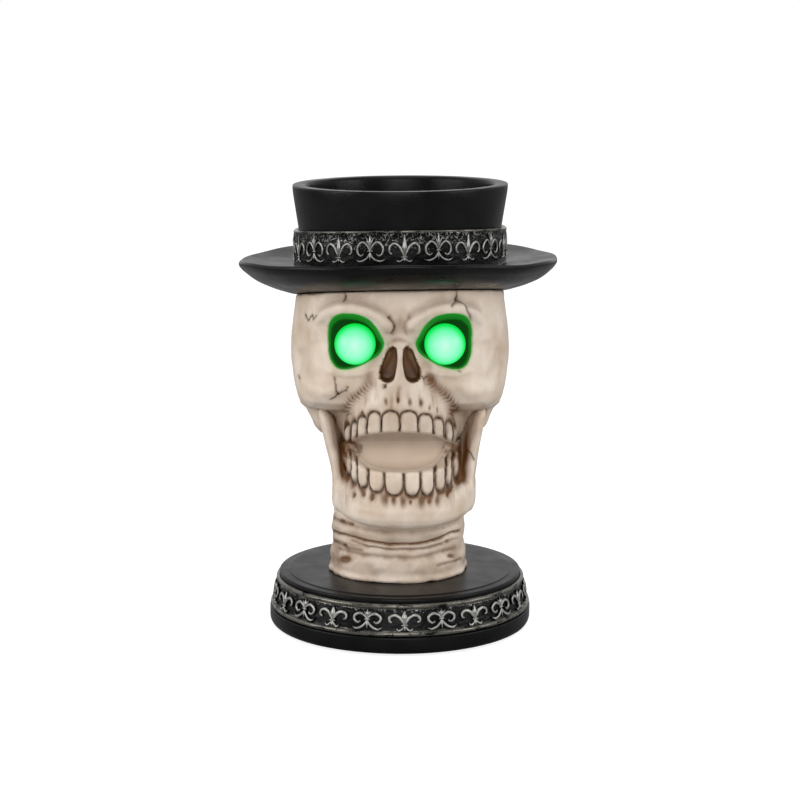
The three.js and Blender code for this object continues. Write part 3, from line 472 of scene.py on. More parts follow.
# Silver rubbed over black: what is raised catches it, in grains, and bright lines wander over the
# ground like worm tracks. The smooth beads wear a closed, duller coat.
silver_rub, tree, shader, place = start_material("silver_rubbed_over_black")
raised = add_node(tree, "ShaderNodeAttribute", attribute_name="raised").outputs["Fac"]
worms = add_node(tree, "ShaderNodeAttribute", attribute_name="worms").outputs["Fac"]
smooth = add_node(tree, "ShaderNodeAttribute", attribute_name="smooth").outputs["Fac"]
grain = add_node(tree, "ShaderNodeTexNoise", {"Vector": place, "Scale": 1 / (0.9 * MM), "Detail": 4})
wear = add_node(tree, "ShaderNodeTexNoise", {"Vector": place, "Scale": 1 / (5 * MM), "Detail": 2})
rubbed = add_node(tree, "ShaderNodeMath", {0: grain, 1: wear}, operation="ADD")
winding = add_node(tree, "ShaderNodeTexNoise", {"Vector": place, "Scale": 1 / (2.4 * MM), "Detail": 1})
off = add_node(tree, "ShaderNodeMath", {0: winding, 1: 0.5}, operation="SUBTRACT")
away = add_node(tree, "ShaderNodeMath", {0: off}, operation="ABSOLUTE")
line = add_node(tree, "ShaderNodeMapRange", {
    "Value": away, "From Min": 0.055, "From Max": 0.015, "To Max": 0.9,
})
marked = add_node(tree, "ShaderNodeMath", {0: line, 1: worms, 2: raised}, operation="MULTIPLY_ADD")
total = add_node(tree, "ShaderNodeMath", {0: rubbed, 1: 1.1, 2: marked}, operation="MULTIPLY_ADD")
cover = add_node(tree, "ShaderNodeMapRange", {
    "Value": total, "From Min": 1.5, "From Max": 2.1,
}, interpolation_type="SMOOTHSTEP")
coat = add_node(tree, "ShaderNodeMix", {
    "Factor": smooth, "A": linear("#969591"), "B": linear("#68665F"),
}, data_type="RGBA")
tint = add_node(tree, "ShaderNodeMix", {
    "Factor": cover, "A": linear("#050506"), "B": coat,
}, data_type="RGBA")
shine = add_node(tree, "ShaderNodeMath", {0: cover, 1: 0.75}, operation="MULTIPLY")
gloss = add_node(tree, "ShaderNodeMapRange", {"Value": smooth, "To Min": 0.32, "To Max": 0.22})
bump = add_node(tree, "ShaderNodeBump", {"Height": grain, "Strength": 0.4, "Distance": 0.25 * MM})
fill(shader, {"Base Color": tint, "Metallic": shine, "Roughness": gloss, "Normal": bump, "IOR": 1.22})

BEAD_RADIUS = 1.45
FRIEZE_FOOT_RADIUS = PLINTH_RADIUS - 1.1
FRIEZE_TOP_RADIUS = FRIEZE_FOOT_RADIUS - 3.7
SEAT_RADIUS = STEP_RADIUS + STEP_GAP
BEAD_SINK = 0.8
GROUND_SINK = 0.6


def arc(middle, level, radius, first, last, steps=8):
    """Points of a profile on a circle, between two angles in degrees."""
    angles = [math.radians(first + (last - first) * i / steps) for i in range(steps + 1)]
    return [Vector((middle + radius * math.cos(a), level + radius * math.sin(a))) for a in angles]


def frieze_radius(level):
    """The radius of the frieze's face at a height in millimetres."""
    share = (level - band_low.z) / (band_high.z - band_low.z)
    return FRIEZE_FOOT_RADIUS + (FRIEZE_TOP_RADIUS - FRIEZE_FOOT_RADIUS) * share


lower_bead = band_low.z + BEAD_RADIUS
upper_bead = band_high.z - BEAD_RADIUS
face_levels = np.linspace(lower_bead + BEAD_RADIUS, upper_bead - BEAD_RADIUS, 20)
band_profile = [
    Vector((SEAT_RADIUS, band_low.z)),
    *arc(FRIEZE_FOOT_RADIUS - BEAD_SINK, lower_bead, BEAD_RADIUS, -90, 80),
    *[Vector((frieze_radius(level) - GROUND_SINK, level)) for level in face_levels],
    *arc(FRIEZE_TOP_RADIUS - GROUND_SINK, upper_bead, BEAD_RADIUS, -80, 90),
    Vector((SEAT_RADIUS, band_high.z)),
    Vector((SEAT_RADIUS, band_low.z)),
]
plinth_band = turn("frieze_ground", band_profile, 420)

GROUND_DEPTH = 0.3 * MM
WORM_SIZE = 1.9 * MM


def roughen(piece, low, high, worn_from, seed):
    """Gives the ground of a band, between two heights in millimetres, its worm-eaten surface."""
    low *= MM
    high *= MM
    raised = []
    worms = []
    for corner in piece.data.vertices:
        place = corner.co
        outward = Vector((place.x, place.y, 0)).normalized()
        ground = low < place.z < high
        winding = noise.noise(place / WORM_SIZE + Vector((seed, 0, 0)))
        grains = noise.noise(place / WORM_SIZE * 1.7 + Vector((0, seed, 0)))
        worm = max(0, 1 - abs(winding) * 6)
        height = worm - 0.4 + 0.4 * grains if ground else 0.25 * grains
        around = math.atan2(place.x, place.y) * SEAT_RADIUS * MM
        drawn_out = noise.noise(Vector((around / WORM_SIZE / 4, place.z / WORM_SIZE * 2, seed)))
        corner.co = place + outward * GROUND_DEPTH * height
        up = (place.z - low) / (high - low)
        raised.append(0.25 * grains + 0.15 * worm if ground else 0.88 + 0.9 * drawn_out)
        worms.append(min(0.85, max(0, 2.2 * (up - worn_from))) if ground else 0)
    set_attribute(piece.data, "raised", raised)
    set_attribute(piece.data, "worms", worms)
    set_attribute(piece.data, "smooth", [not low < corner.co.z < high for corner in piece.data.vertices])


roughen(plinth_band, lower_bead + BEAD_RADIUS, upper_bead - BEAD_RADIUS, 0.62, 3)
settle(plinth_band, silver_rub, "silvered_resin", "plinth_band")


# The ornament of the bands: two motifs in low relief, the fleur-de-lis and a cross of scrolls, each
# made of tapering strokes, and set in turn round the ring.
STROKE_SIDES = 8
STROKE_STEPS = 7
STROKE_SINK = 0.5


def stroke(body, path, widths, height):
    """Adds one closed tapering stroke, round on top, to a flat motif (across, up, out)."""
    count = STROKE_STEPS * (len(path) - 1) + 1
    fine = np.linspace(0, len(path) - 1, count)
    line = np.stack([spline(values, fine) for values in zip(*path)], -1)
    shares = np.linspace(0, 1, count)
    spread = np.maximum(0.05, np.interp(shares, np.linspace(0, 1, len(widths)), widths))
    along = np.gradient(line, axis=0)
    along /= np.linalg.norm(along, axis=1)[:, None] + 1e-9
    rings = []
    for (s, t), (ds, dt), half in zip(line, along, spread):
        top = height * min(1, half / max(widths)) ** 0.7
        ring = []
        for k in range(STROKE_SIDES):
            angle = 2 * math.pi * k / STROKE_SIDES
            up = math.sin(angle)
            aside = half * math.cos(angle)
            lift = top * up if up > 0 else -STROKE_SINK * min(1, -up * 4)
            ring.append(body.verts.new((s - dt * aside, t + ds * aside, lift)))
        rings.append(ring)
    for near, far in zip(rings, rings[1:]):
        for k in range(STROKE_SIDES):
            n = (k + 1) % STROKE_SIDES
            body.faces.new((near[k], near[n], far[n], far[k]))
    body.faces.new(rings[0][::-1])
    body.faces.new(rings[-1])


def spline(values, places):
    """A smooth curve through values that stand one apart."""
    values = np.asarray(values, float)
    padded = np.concatenate([[2 * values[0] - values[1]], values, [2 * values[-1] - values[-2]]])
    base = np.clip(np.floor(places).astype(int), 0, len(values) - 2)
    return between(*(padded[base + k] for k in range(4)), places - base)


def between(a, b, c, d, share):
    """A share of the way from the second of four values to the third, on a smooth curve."""
    return b + 0.5 * share * (c - a + share * (2 * a - 5 * b + 4 * c - d + share * (3 * (b - c) + d - a)))


def mirrored(path):
    """A path and its mirror image."""
    return [path, [(-s, t) for s, t in path]]


# Strokes of the motifs, as shares of half their width and height: paths, half widths and relief.
FLEUR = [
    ([[(0, -0.3), (0, 0.3), (0, 1.04)]], [0.06, 0.23, 0.02], 1.1),
    (mirrored([
        (0.04, -0.36), (0.14, -0.02), (0.34, 0.36), (0.64, 0.52), (0.9, 0.34), (0.93, 0), (0.78, -0.14),
    ]), [0.05, 0.1, 0.12, 0.11, 0.1, 0.09, 0.07], 0.9),
    ([[(-0.2, -0.4), (0, -0.36), (0.2, -0.4)]], [0.04, 0.06, 0.04], 1.15),
    ([[(0, -0.42), (0, -0.7), (0, -0.98)]], [0.05, 0.09, 0.03], 0.9),
    (mirrored([(0.04, -0.44), (0.16, -0.74), (0.36, -0.9), (0.48, -0.72)]), [0.04, 0.07, 0.07, 0.04], 0.8),
]
SCROLL = [
    ([[(0, 0.15), (0, 0.62), (0, 1.04)]], [0.05, 0.13, 0.02], 1),
    (mirrored([(0.03, 0.3), (0.12, 0.62), (0.3, 0.9)]), [0.03, 0.07, 0.02], 0.8),
    (mirrored([
        (0, 0.06), (0.2, 0.44), (0.5, 0.6), (0.8, 0.36), (0.82, -0.02), (0.6, -0.26), (0.42, -0.12),
    ]), [0.05, 0.09, 0.1, 0.1, 0.09, 0.08, 0.06], 0.9),
    ([[(-0.16, 0.08), (0, 0.1), (0.16, 0.08)]], [0.04, 0.06, 0.04], 1.1),
    ([[(0, 0.0), (0, -0.4), (0, -0.82)]], [0.05, 0.08, 0.02], 0.9),
    (mirrored([
        (0, 0), (0.14, -0.36), (0.36, -0.66), (0.68, -0.82), (0.98, -0.6),
    ]), [0.05, 0.08, 0.09, 0.08, 0.03], 0.85),
]
MOTIF_RELIEF = 1.1


def make_motif(name, strokes, half_width, half_height, radius_at, level, slim=1, sag=0):
    """Builds one motif on the front of a ring, bent to the ring's radius at each height."""
    body = bmesh.new()
    for paths, widths, rise in strokes:
        for path in paths:
            sized = [(s * half_width, (t - sag * (1 - t * t)) * half_height) for s, t in path]
            stroke(body, sized, [w * half_width * slim for w in widths], rise * MOTIF_RELIEF)
    mesh = bpy.data.meshes.new(name)
    heights = []
    for corner in body.verts:
        s, t, lift = corner.co
        radius = radius_at(level + t) + lift
        angle = s / radius_at(level)
        corner.co = Vector((radius * math.sin(angle), -radius * math.cos(angle), level + t)) * MM
        heights.append(max(0, lift) / MOTIF_RELIEF)
    bmesh.ops.recalc_face_normals(body, faces=body.faces)
    body.to_mesh(mesh)
    body.free()
    mesh.shade_smooth()
    set_attribute(mesh, "raised", [0.1 + 1.3 * h for h in heights])
    return add_object(name, mesh)


def ring_tree():
    """Geometry nodes that set a motif round Z a number of times from a starting angle."""
    tree = bpy.data.node_groups.new("ring_of_motifs", "GeometryNodeTree")
    sockets = {}
    kinds = {"Motif": "Object", "Count": "Int", "Start": "Float", "Material": "Material"}
    for name, kind in kinds.items():
        sockets[name] = tree.interface.new_socket(name, socket_type="NodeSocket" + kind).identifier
    tree.interface.new_socket("Geometry", in_out="OUTPUT", socket_type="NodeSocketGeometry")
    given = add_node(tree, "NodeGroupInput").outputs
    motif = add_node(tree, "GeometryNodeObjectInfo", {"Object": given["Motif"]}).outputs["Geometry"]
    points = add_node(tree, "GeometryNodeMeshLine", {"Count": given["Count"], "Offset": (0, 0, 0)})
    step = add_node(tree, "ShaderNodeMath", {0: 2 * math.pi, 1: given["Count"]}, operation="DIVIDE")
    index = add_node(tree, "GeometryNodeInputIndex")
    angle = add_node(tree, "ShaderNodeMath", {
        0: index, 1: step, 2: given["Start"],
    }, operation="MULTIPLY_ADD")
    spin = add_node(tree, "ShaderNodeCombineXYZ", {"Z": angle})
    ring = add_node(tree, "GeometryNodeInstanceOnPoints", {
        "Points": points, "Instance": motif, "Rotation": spin,
    })
    whole = add_node(tree, "GeometryNodeRealizeInstances", {"Geometry": ring})
    coated = add_node(tree, "GeometryNodeSetMaterial", {"Geometry": whole, "Material": given["Material"]})
    add_node(tree, "NodeGroupOutput", {0: coated})
    return tree, sockets


ring_of_motifs, ring_sockets = ring_tree()


def ornament(band, count, turned, *measures):
    """The rings of both motifs, set in turn round a band, each as one plain mesh."""
    rings = []
    for kind, strokes in (("fleurs", FLEUR), ("scrolls", SCROLL)):
        name = f"{band}_{kind}"
        motif = make_motif("one_" + name, strokes, *measures)
        ring = add_object(name, bpy.data.meshes.new(name))
        modifier = ring.modifiers.new("ring", "NODES")
        modifier.node_group = ring_of_motifs
        modifier[ring_sockets["Motif"]] = motif
        modifier[ring_sockets["Count"]] = count
        modifier[ring_sockets["Start"]] = turned
        modifier[ring_sockets["Material"]] = silver_rub
        apply_modifiers(ring)
        bpy.data.objects.remove(motif)
        rings.append(ring)
        turned += math.pi / count
    return rings


MOTIF_HALF_WIDTH = 9.2
PLINTH_MOTIFS = 11
PLINTH_TURN = math.radians(2)
frieze_middle = (lower_bead + upper_bead) / 2
frieze_half = (upper_bead - lower_bead) / 2 - BEAD_RADIUS - 0.2
for ring in ornament(
    "frieze", PLINTH_MOTIFS, PLINTH_TURN, MOTIF_HALF_WIDTH, frieze_half, frieze_radius, frieze_middle,
):
    settle(ring, None, "silvered_resin")


# Bone pieces: skull, lower jaw and neck are cast in resin, painted the colour of old bone and
# washed with thin brown paint that stays in the hollows; painted shade darkens them further. Each
# is a field of distances, in millimetres, that is turned into a skin.
def smooth_min(a, b, blend):
    """The smaller of two distances, with a round fillet between their surfaces."""
    share = np.clip(0.5 + 0.5 * (b - a) / blend, 0, 1)
    return b + (a - b) * share - blend * share * (1 - share)


def smooth_max(a, b, blend):
    """The larger of two distances, with a round edge between their surfaces."""
    return -smooth_min(-a, -b, blend)


def bell(offset, spread):
    """One in the middle and fading to nothing on both sides."""
    return np.exp(-(offset / spread) ** 2)


def column_curve(heights, values, blur):
    """A table's column as a fine curve over height with its corners smoothed."""
    step = 0.25
    fine = np.arange(heights[0] - 4 * blur, heights[-1] + 4 * blur, step)
    reach = int(3 * blur / step) + 1
    window = bell(np.arange(-reach, reach + 1) * step, blur)
    wide = np.interp(np.arange(-reach, len(fine) + reach) * step + fine[0], heights, values)
    return fine, np.convolve(wide, window / window.sum(), "valid")


def pile(table, blur=1):
    """Rings of (height, half width, front, back, power), as a function that gives distances."""
    table = np.array(table, float)
    curves = [column_curve(table[:, 0], table[:, i], blur) for i in range(1, 5)]

    def outside(x, y, z):
        """How far a point lies outside the pile."""
        half, front, back, power = (np.interp(z, *curve) for curve in curves)
        return oval_distance(x, y, half, np.where(y < 0, front, back), power)

    return outside


def oval_distance(x, y, half, depth, power):
    """How far a point lies outside a superellipse, measured along its radius."""
    share = ((np.abs(x) / half) ** power + (np.abs(y) / depth) ** power) ** (1 / power)
    reach = np.hypot(x, y)
    return reach - reach / np.maximum(share, 0.02) + (reach < 1e-6) * -np.minimum(half, depth)


def outline_distance(u, v, corners):
    """Signed distance, in a plane, from a closed curve through the given corners."""
    corners = np.array(corners, float)
    count = len(corners)
    fine = [
        between(*(corners[(i + k - 1) % count] for k in range(4)), share)
        for i in range(count) for share in (0, 0.5)
    ]
    nearest = np.full(u.shape, 1e9)
    inside = np.zeros(u.shape, bool)
    for (u0, v0), (u1, v1) in zip(fine, fine[1:] + fine[:1]):
        du, dv = u1 - u0, v1 - v0
        share = np.clip(((u - u0) * du + (v - v0) * dv) / (du * du + dv * dv + 1e-12), 0, 1)
        nearest = np.minimum(nearest, np.hypot(u - u0 - share * du, v - v0 - share * dv))
        inside ^= ((v0 > v) != (v1 > v)) & (u < (u1 - u0) * (v - v0) / (v1 - v0 + 1e-12) + u0)
    return np.where(inside, -nearest, nearest)


SKULL_BASE = size_of("skull")[0].z
MUZZLE_FRONT = 61
ARCH_END = 26
ARCH_DROP = 13.2
UPPER_EDGE = SKULL_BASE + 15.4
LOWER_EDGE = UPPER_EDGE - 26
MOUTH_LEVEL = 113.2
MOUTH_HALF_WIDTH = 27
MOUTH_HALF_HEIGHT = 18.5
MOUTH_REACH = 54.6
MOUTH_POWER = 2.3
JAW_SHIFT = 1.5
PIECE_GAP = 0.2

cranium = pile([
    (112, 38, 12, 38, 2.2),
    (114.2, 46.5, 15, 46, 2.2),
    (118.9, 50.6, 17, 52, 2.2),
    (126.1, 53.4, 19, 61, 2.2),
    (130.5, 55.6, 24, 66, 2.3),
    (133.4, 58.4, 36, 67.5, 2.5),
    (138.6, 59.9, 45, 70, 2.6),
    (145.8, 61.6, 48.5, 72.5, 2.6),
    (153.0, 62.7, 50, 74.3, 2.6),
    (160.1, 63.6, 51, 75, 2.55),
    (167.3, 63.8, 52, 75, 2.5),
    (174.4, 63.4, 53.5, 75, 2.45),
    (181.5, 62.5, 55.5, 74.3, 2.4),
    (188.6, 61.5, 58.5, 73.2, 2.35),
    (194.5, 60.6, 60, 72, 2.3),
    (214, 60, 60, 69, 2.2),
], 1.2)
muzzle = pile([
    (116, 31, 56, 10, 2.3),
    (128.6, 32.6, 58.6, 10, 2.3),
    (132.5, 34, 59.8, 10, 2.3),
    (137.6, 34.5, 60.4, 10, 2.3),
    (142.7, 33, 61, 10, 2.3),
    (148.7, 27.6, 61, 10, 2.3),
    (156.4, 20.7, 60.7, 10, 2.3),
    (164, 14.5, 60.3, 10, 2.3),
    (171.7, 10.6, 59.3, 10, 2.2),
    (177.7, 8.3, 56, 10, 2.1),
    (186, 8, 50, 10, 2.1),
], 2)
SOCKET_MIDDLE = (25.35, 176.3)
SOCKET_FLOOR = 38
SOCKET_SINK = 3.2
SOCKET_OUTLINE = [
    (-4.6, 15.8), (2, 15.1), (6.9, 12.9), (11, 8.9), (13.9, 3.9), (15.7, -1.1), (14.3, -5.2), (11, -8.6),
    (6.9, -11.5), (2, -14), (-3.8, -15.6), (-8.7, -15.6), (-12, -13.6), (-14.5, -9.8), (-15.6, -4.4),
    (-15.7, 1.4), (-15.5, 7.2), (-14.5, 11), (-11.2, 14.3), (-7.9, 15.5),
]
NOSE_FLOOR = 48.5
NOSE_OUTLINE = [
    (3.6, 174), (5.2, 173.2), (6.9, 171), (9.1, 165.7), (10.9, 161), (11.4, 157.8), (10.7, 155.6),
    (8.6, 154.3), (6.2, 154.1), (4.2, 155), (2.9, 157), (2.1, 160.7), (1.4, 165.9), (1.6, 170.6),
    (2.3, 173.2),
]


def socket_distance(x, y, z):
    """How far a place lies outside the walls of the sockets, which sink towards their floors."""
    depth_share = np.clip((52 + y) / (52 - SOCKET_FLOOR), -0.6, 1)
    v = z - SOCKET_MIDDLE[1] + SOCKET_SINK * np.maximum(0, depth_share)
    return outline_distance(SOCKET_MIDDLE[0] - np.abs(x), v, SOCKET_OUTLINE) + 1.8 * depth_share


def arch_share(y):
    """How far back along the rows of teeth a place lies."""
    return np.clip((MUZZLE_FRONT + y) / (MUZZLE_FRONT - ARCH_END), 0, 1.3)


def mouth_hollow(x, y, z):
    """The bowl inside the mouth, common to all three pieces of bone."""
    aside = (np.abs(x) / MOUTH_HALF_WIDTH) ** MOUTH_POWER
    across = (aside + (np.minimum(y, 0) / -MOUTH_REACH) ** MOUTH_POWER) ** (1 / MOUTH_POWER)
    level = (z - MOUTH_LEVEL) / MOUTH_HALF_HEIGHT
    bowl = ((across ** 3.33 + level ** 2) ** 0.4 - 1) * 16
    return smooth_max(bowl, y + 9, 5)


def hat_underside(x, y):
    """The height of the hat's underside over the head."""
    reach = np.hypot(x, y)
    ahead = np.maximum(0, -y / np.maximum(reach, 1))
    return HAT_SEAT + SEAT_LIFT * ahead * reach / BAND_RADIUS + x * math.sin(HAT_TILT)


RAMUS_FOOT = 70.6
RAMUS_TOP = 131.6
RAMUS_APART = 37.5
RAMUS_SPREAD = 8.6
JAW_SLIMMED = 1.4


def jaw_side(x, z):
    """How far to the side of the jaw's own middle a place lies. The jaw is slimmer on its left."""
    own = x - JAW_SHIFT
    return own - JAW_SLIMMED * np.clip(-own / 40, 0, 1) * bell(z - 88, 18)


def ramus(x, y, z):
    """The two upright branches of the lower jaw."""
    share = np.clip((z - RAMUS_FOOT) / (RAMUS_TOP - RAMUS_FOOT), 0, 1)
    aside = np.abs(jaw_side(x, z)) - (RAMUS_APART + RAMUS_SPREAD * share ** 2)
    spread = np.interp(share, [0, 0.08, 0.4, 0.75, 0.93, 1], [0.8, 1, 1, 0.95, 0.85, 0.6])
    bent = 1.2 * np.sin(share * 9)
    post = oval_distance(aside, y + 9 + 3 * share + bent, 4.3 * spread, 10.5 * spread, 2.5)
    web = oval_distance(aside + 5.5, y - 3.5 + 3 * share, 5, 12, 2.2)
    web = smooth_max(web, 82 - z, 5)
    return smooth_max(smooth_max(smooth_min(post, web, 6), z - RAMUS_TOP, 3), RAMUS_FOOT - z, 3)


def face_relief(x, z):
    """Brows, the bone between them, cheekbones and the eyes' rims, beyond the plain head."""
    side = np.abs(x)
    arch = 193.3 - 0.0075 * (side - 27) ** 2
    brow = 3.8 * bell(side - 27, 19) * bell(z - arch, 4.6)
    over_nose = 2.2 * bell(side - 7, 7) * bell(z - 186, 6) - 1.2 * bell(side, 3) * bell(z - 188, 8)
    cheek = 4.6 * bell(side - 44, 13) * bell(z - 144, 8.5)
    under_eye = 1.6 * bell(side - 26, 16) * bell(z - 158.5, 3.6)
    temple = -2.0 * bell(side - 56, 9) * bell(z - 172, 14)
    hollow = -2.5 * bell(side - 30, 9) * bell(z - 143, 6)
    return brow + over_nose + cheek + under_eye + temple + hollow


def skull_field(x, y, z):
    """How far a point lies outside the skull."""
    forward = np.clip(-y / 34, 0, 1)
    head = cranium(x, y, z) - forward * face_relief(x, z)
    head = smooth_max(head, SKULL_BASE + 0.3 - z, 2)
    drop = ARCH_DROP * arch_share(y) ** 1.1
    fade = np.clip((171.7 - z) / 34, 0, 1)
    level = z + drop * fade
    snout = smooth_max(muzzle(x, y, level), UPPER_EDGE - level, 1.2)
    whole = smooth_min(head, snout, 7)
    whole = smooth_max(whole, -mouth_hollow(x, y, z), 1.5)
    near = (np.abs(x) < 48) & (y < -28) & (z > 148) & (z < 200)
    deep = -y[near] - 52
    socket = smooth_max(socket_distance(x[near], y[near], z[near]), y[near] + SOCKET_FLOOR, 1)
    nostril = outline_distance(np.abs(x[near]), z[near], NOSE_OUTLINE)
    nostril = smooth_max(nostril - 0.02 * (deep - 8), y[near] + NOSE_FLOOR, 2)
    cut = smooth_max(whole[near], -socket, 2.2)
    whole[near] = smooth_max(cut, -nostril, 0.9)
    whole = smooth_max(whole, -(ramus(x, y, z) - PIECE_GAP), 0.5)
    return smooth_max(whole, z - hat_underside(x, y) + 0.3, 0.6)


jaw_bone = pile([
    (64, 22, 40, 15, 2.3),
    (66.6, 26, 45, 15, 2.3),
    (68.2, 34, 52.5, 15, 2.4),
    (70.8, 38.8, 55.9, 15, 2.5),
    (74, 40.8, 57.6, 15, 2.5),
    (79, 41.3, 58.2, 15, 2.5),
    (84, 41.1, 57.4, 15, 2.5),
    (88.5, 39.5, 54.5, 15, 2.5),
    (91, 36, 53, 15, 2.5),
])
gum = pile([
    (74, 32, 53, 15, 2.3),
    (86, 34, 56.6, 15, 2.3),
    (96, 34.2, 57.2, 15, 2.3),
    (108, 33.4, 56.6, 15, 2.3),
])


def lower_edge(y):
    """The height of the lower teeth's edge, which climbs towards the cheeks."""
    return LOWER_EDGE + 5 * np.clip((54 + y) / 26, 0, 1.1) ** 2


def jaw_field(x, y, z):
    """How far a point lies outside the lower jaw."""
    own = x - JAW_SHIFT
    chin = smooth_max(jaw_bone(jaw_side(x, z) - 0.5, y, z), z - 89.5, 3)
    chin = smooth_max(chin, 66.5 - z, 1.5)
    row = smooth_max(smooth_max(gum(own, y, z), z - lower_edge(y), 1.2), 76 - z, 3)
    whole = smooth_min(chin, row, 4)
    whole = smooth_min(whole, ramus(x, y, z), 5)
    whole = smooth_max(whole, -mouth_hollow(x, y, z), 1.5)
    return smooth_max(whole, -(neck_body(x, y, z) - PIECE_GAP), 0.4)


NECK_FOOT = 33.3
NECK_HEAD = 112
neck_stump = pile([
    (NECK_FOOT, 40.6, 40.7, 42.4, 2.1),
    (35.3, 40, 40.1, 42, 2.1),
    (39, 39.7, 39.4, 41.6, 2.2),
    (44, 40, 39.4, 41.6, 2.2),
    (47, 39.2, 38.4, 41, 2.2),
    (50, 38.8, 38.4, 40.8, 2.2),
    (55, 38.9, 37.8, 40.7, 2.2),
    (58, 39.2, 38, 40.2, 2.2),
    (63, 39.1, 38.1, 40, 2.2),
    (67, 37.6, 37.4, 39.4, 2.2),
    (69.5, 38.2, 34, 40, 2.4),
    (72, 36.5, 28, 40, 2.8),
    (76, 36, 27, 40, 3),
    (NECK_HEAD, 36, 27, 40, 3),
])


def neck_body(x, y, z):
    """The neck as a whole, before the mouth is hollowed out of it."""
    stump = neck_stump(x + 1.2 * np.clip((84 - z) / 10, 0, 1), y, z)
    behind = oval_distance(x, y - 20, 41.5, 19, 7)
    shoulder = smooth_max(behind, 90 - z, 12)
    whole = smooth_min(stump, shoulder, 8)
    return smooth_max(smooth_max(whole, z - NECK_HEAD, 0.5), NECK_FOOT - z, 1)


def neck_field(x, y, z):
    """How far a point lies outside the neck."""
    return smooth_max(neck_body(x, y, z), -mouth_hollow(x, y, z), 1.5)


GRADIENT_STEP = 0.12


def gradient(field, points):
    """The direction in which a field grows fastest, and how fast."""
    slopes = []
    for shift in GRADIENT_STEP * np.eye(3):
        rise = field(*(points + shift).T) - field(*(points - shift).T)
        slopes.append(rise / (2 * GRADIENT_STEP))
    return np.stack(slopes, -1)


def fine_noise(points, size, seed=0):
    """Gradient noise at each point, roughly from -1 to 1, with features of the given size."""
    shift = Vector((seed * 7.3, seed * 3.1, -seed * 5.7))
    return np.array([noise.noise(Vector(p) / size + shift) for p in points.tolist()])


def along_path(px, py, path):
    """Distance in pixels of the photograph from a path, and how far along it the nearest place is."""
    nearest = np.full(px.shape, 1e9)
    travelled = np.zeros(px.shape)
    start = 0
    for (x0, y0), (x1, y1) in zip(path, path[1:]):
        dx, dy = x1 - x0, y1 - y0
        length = math.hypot(dx, dy)
        share = np.clip(((px - x0) * dx + (py - y0) * dy) / length ** 2, 0, 1)
        away = np.hypot(px - x0 - share * dx, py - y0 - share * dy)
        travelled = np.where(away < nearest, start + share * length, travelled)
        nearest = np.minimum(nearest, away)
        start += length
    return nearest, travelled


def path_distance(px, py, path):
    """Distance in pixels of the photograph from a path through the given pixels."""
    return along_path(px, py, path)[0]


FACE_MIDDLE = 399.5


def both_sides(path, *measures):
    """A path of the photograph and its mirror image across the face, each with its measures."""
    return [(path, *measures), ([(2 * FACE_MIDDLE - x, y) for x, y in path], *measures)]


# Outlines of the brown corners of the mouth, and paths of painted shade beside the teeth, in pixels.
CORNERS_OF_MOUTH = [
    [(342, 440), (352, 441), (364, 446), (361, 452), (358, 457), (356, 462), (349, 459), (344, 455)],
    [(443, 447), (452, 444), (461, 446), (462, 455), (455, 461), (447, 458)],
]
BESIDE_TEETH = [
    [(334, 411), (338, 425), (341.5, 440), (343, 456), (344.5, 468), (347, 478)],
    [(465, 414), (466, 428), (466, 440), (464, 452), (460.5, 466), (458, 480)],
]


def deep_shade(px, py, points):
    """Painted shade in the hollows between teeth and jaw, and the brown of the corners of the mouth."""
    within = np.clip((-points[:, 1] - 2) / 6, 0, 1) * (points[:, 2] > 84)
    tooth_row = np.clip((-points[:, 1] - 28) / 5, 0, 1)
    threads = fine_noise(points, 2.6, 17)
    shade = np.zeros(len(px))
    for corner in CORNERS_OF_MOUTH:
        inside = outline_distance(px + 2.5 * threads, py + 1.5 * threads, corner)
        shade += (0.52 - 0.3 * threads) * np.clip(0.5 - inside / 2, 0, 1)
    for path in BESIDE_TEETH:
        away = path_distance(px, py, path)
        shade += (0.24 * bell(away, 9) + 0.3 * bell(away, 3.2)) * (1 - 0.85 * tooth_row)
    return shade * within


# Bone paint with a brown wash: warm bone in soft clouds, painted light on the mouth's floor, brown to
# black where the wash, the painted shade and the ink lie, and painted green light in the sockets,
# black green with a glowing lit edge, where nothing shines.
bone_paint, tree, shader, place = start_material("bone_paint_with_brown_wash")
clouds = add_node(tree, "ShaderNodeTexNoise", {"Vector": place, "Scale": 1 / (16 * MM), "Detail": 5})
cloudy = add_node(tree, "ShaderNodeMapRange", {"Value": clouds, "From Min": 0.35, "From Max": 0.7})
base = add_node(tree, "ShaderNodeMix", {
    "Factor": cloudy, "A": linear("#DCCEBF"), "B": linear("#C5B09B"),
}, data_type="RGBA")
for layer, colour in (("painted_mouth_light", "#F0E0CE"), ("wash_and_shade", "#6B4828"), ("ink", "#2A1B10"), ("painted_socket_light", "#011303")):
    amount = add_node(tree, "ShaderNodeAttribute", attribute_name=layer).outputs["Fac"]
    base = add_node(tree, "ShaderNodeMix", {
        "Factor": amount, "A": base, "B": linear(colour),
    }, data_type="RGBA")
# The last layer read, the painted socket light, also dulls the sockets and sets how strongly they glow.
dull = add_node(tree, "ShaderNodeMapRange", {"Value": amount, "To Min": 0.42, "To Max": 1})
# How bright the painted green light is, from dark green deep in the sockets to a lit edge at their rims.
glow = add_node(tree, "ShaderNodeAttribute", attribute_name="glow").outputs["Fac"]
green = add_node(tree, "ShaderNodeMix", {
    "Factor": glow, "A": linear("#013803"), "B": linear("#22C62E"),
}, data_type="RGBA")
speckle = add_node(tree, "ShaderNodeTexNoise", {"Vector": place, "Scale": 1 / (0.9 * MM), "Detail": 4})
bump = add_node(tree, "ShaderNodeBump", {"Height": speckle, "Strength": 0.35, "Distance": 0.25 * MM})
fill(shader, {
    "Base Color": base,
    "Roughness": dull,
    "Specular IOR Level": 0.38,
    "Normal": bump,
    "Emission Color": green,
    "Emission Strength": amount,
})


PAINTED_LIGHT_LEVEL = 113
MOUTH_SHELL = 0.8
GRAIN_HEIGHT = 0.16
FINE_GRAIN_HEIGHT = 0.07
HOLLOW_REACHES = (1.5, 4, 9)


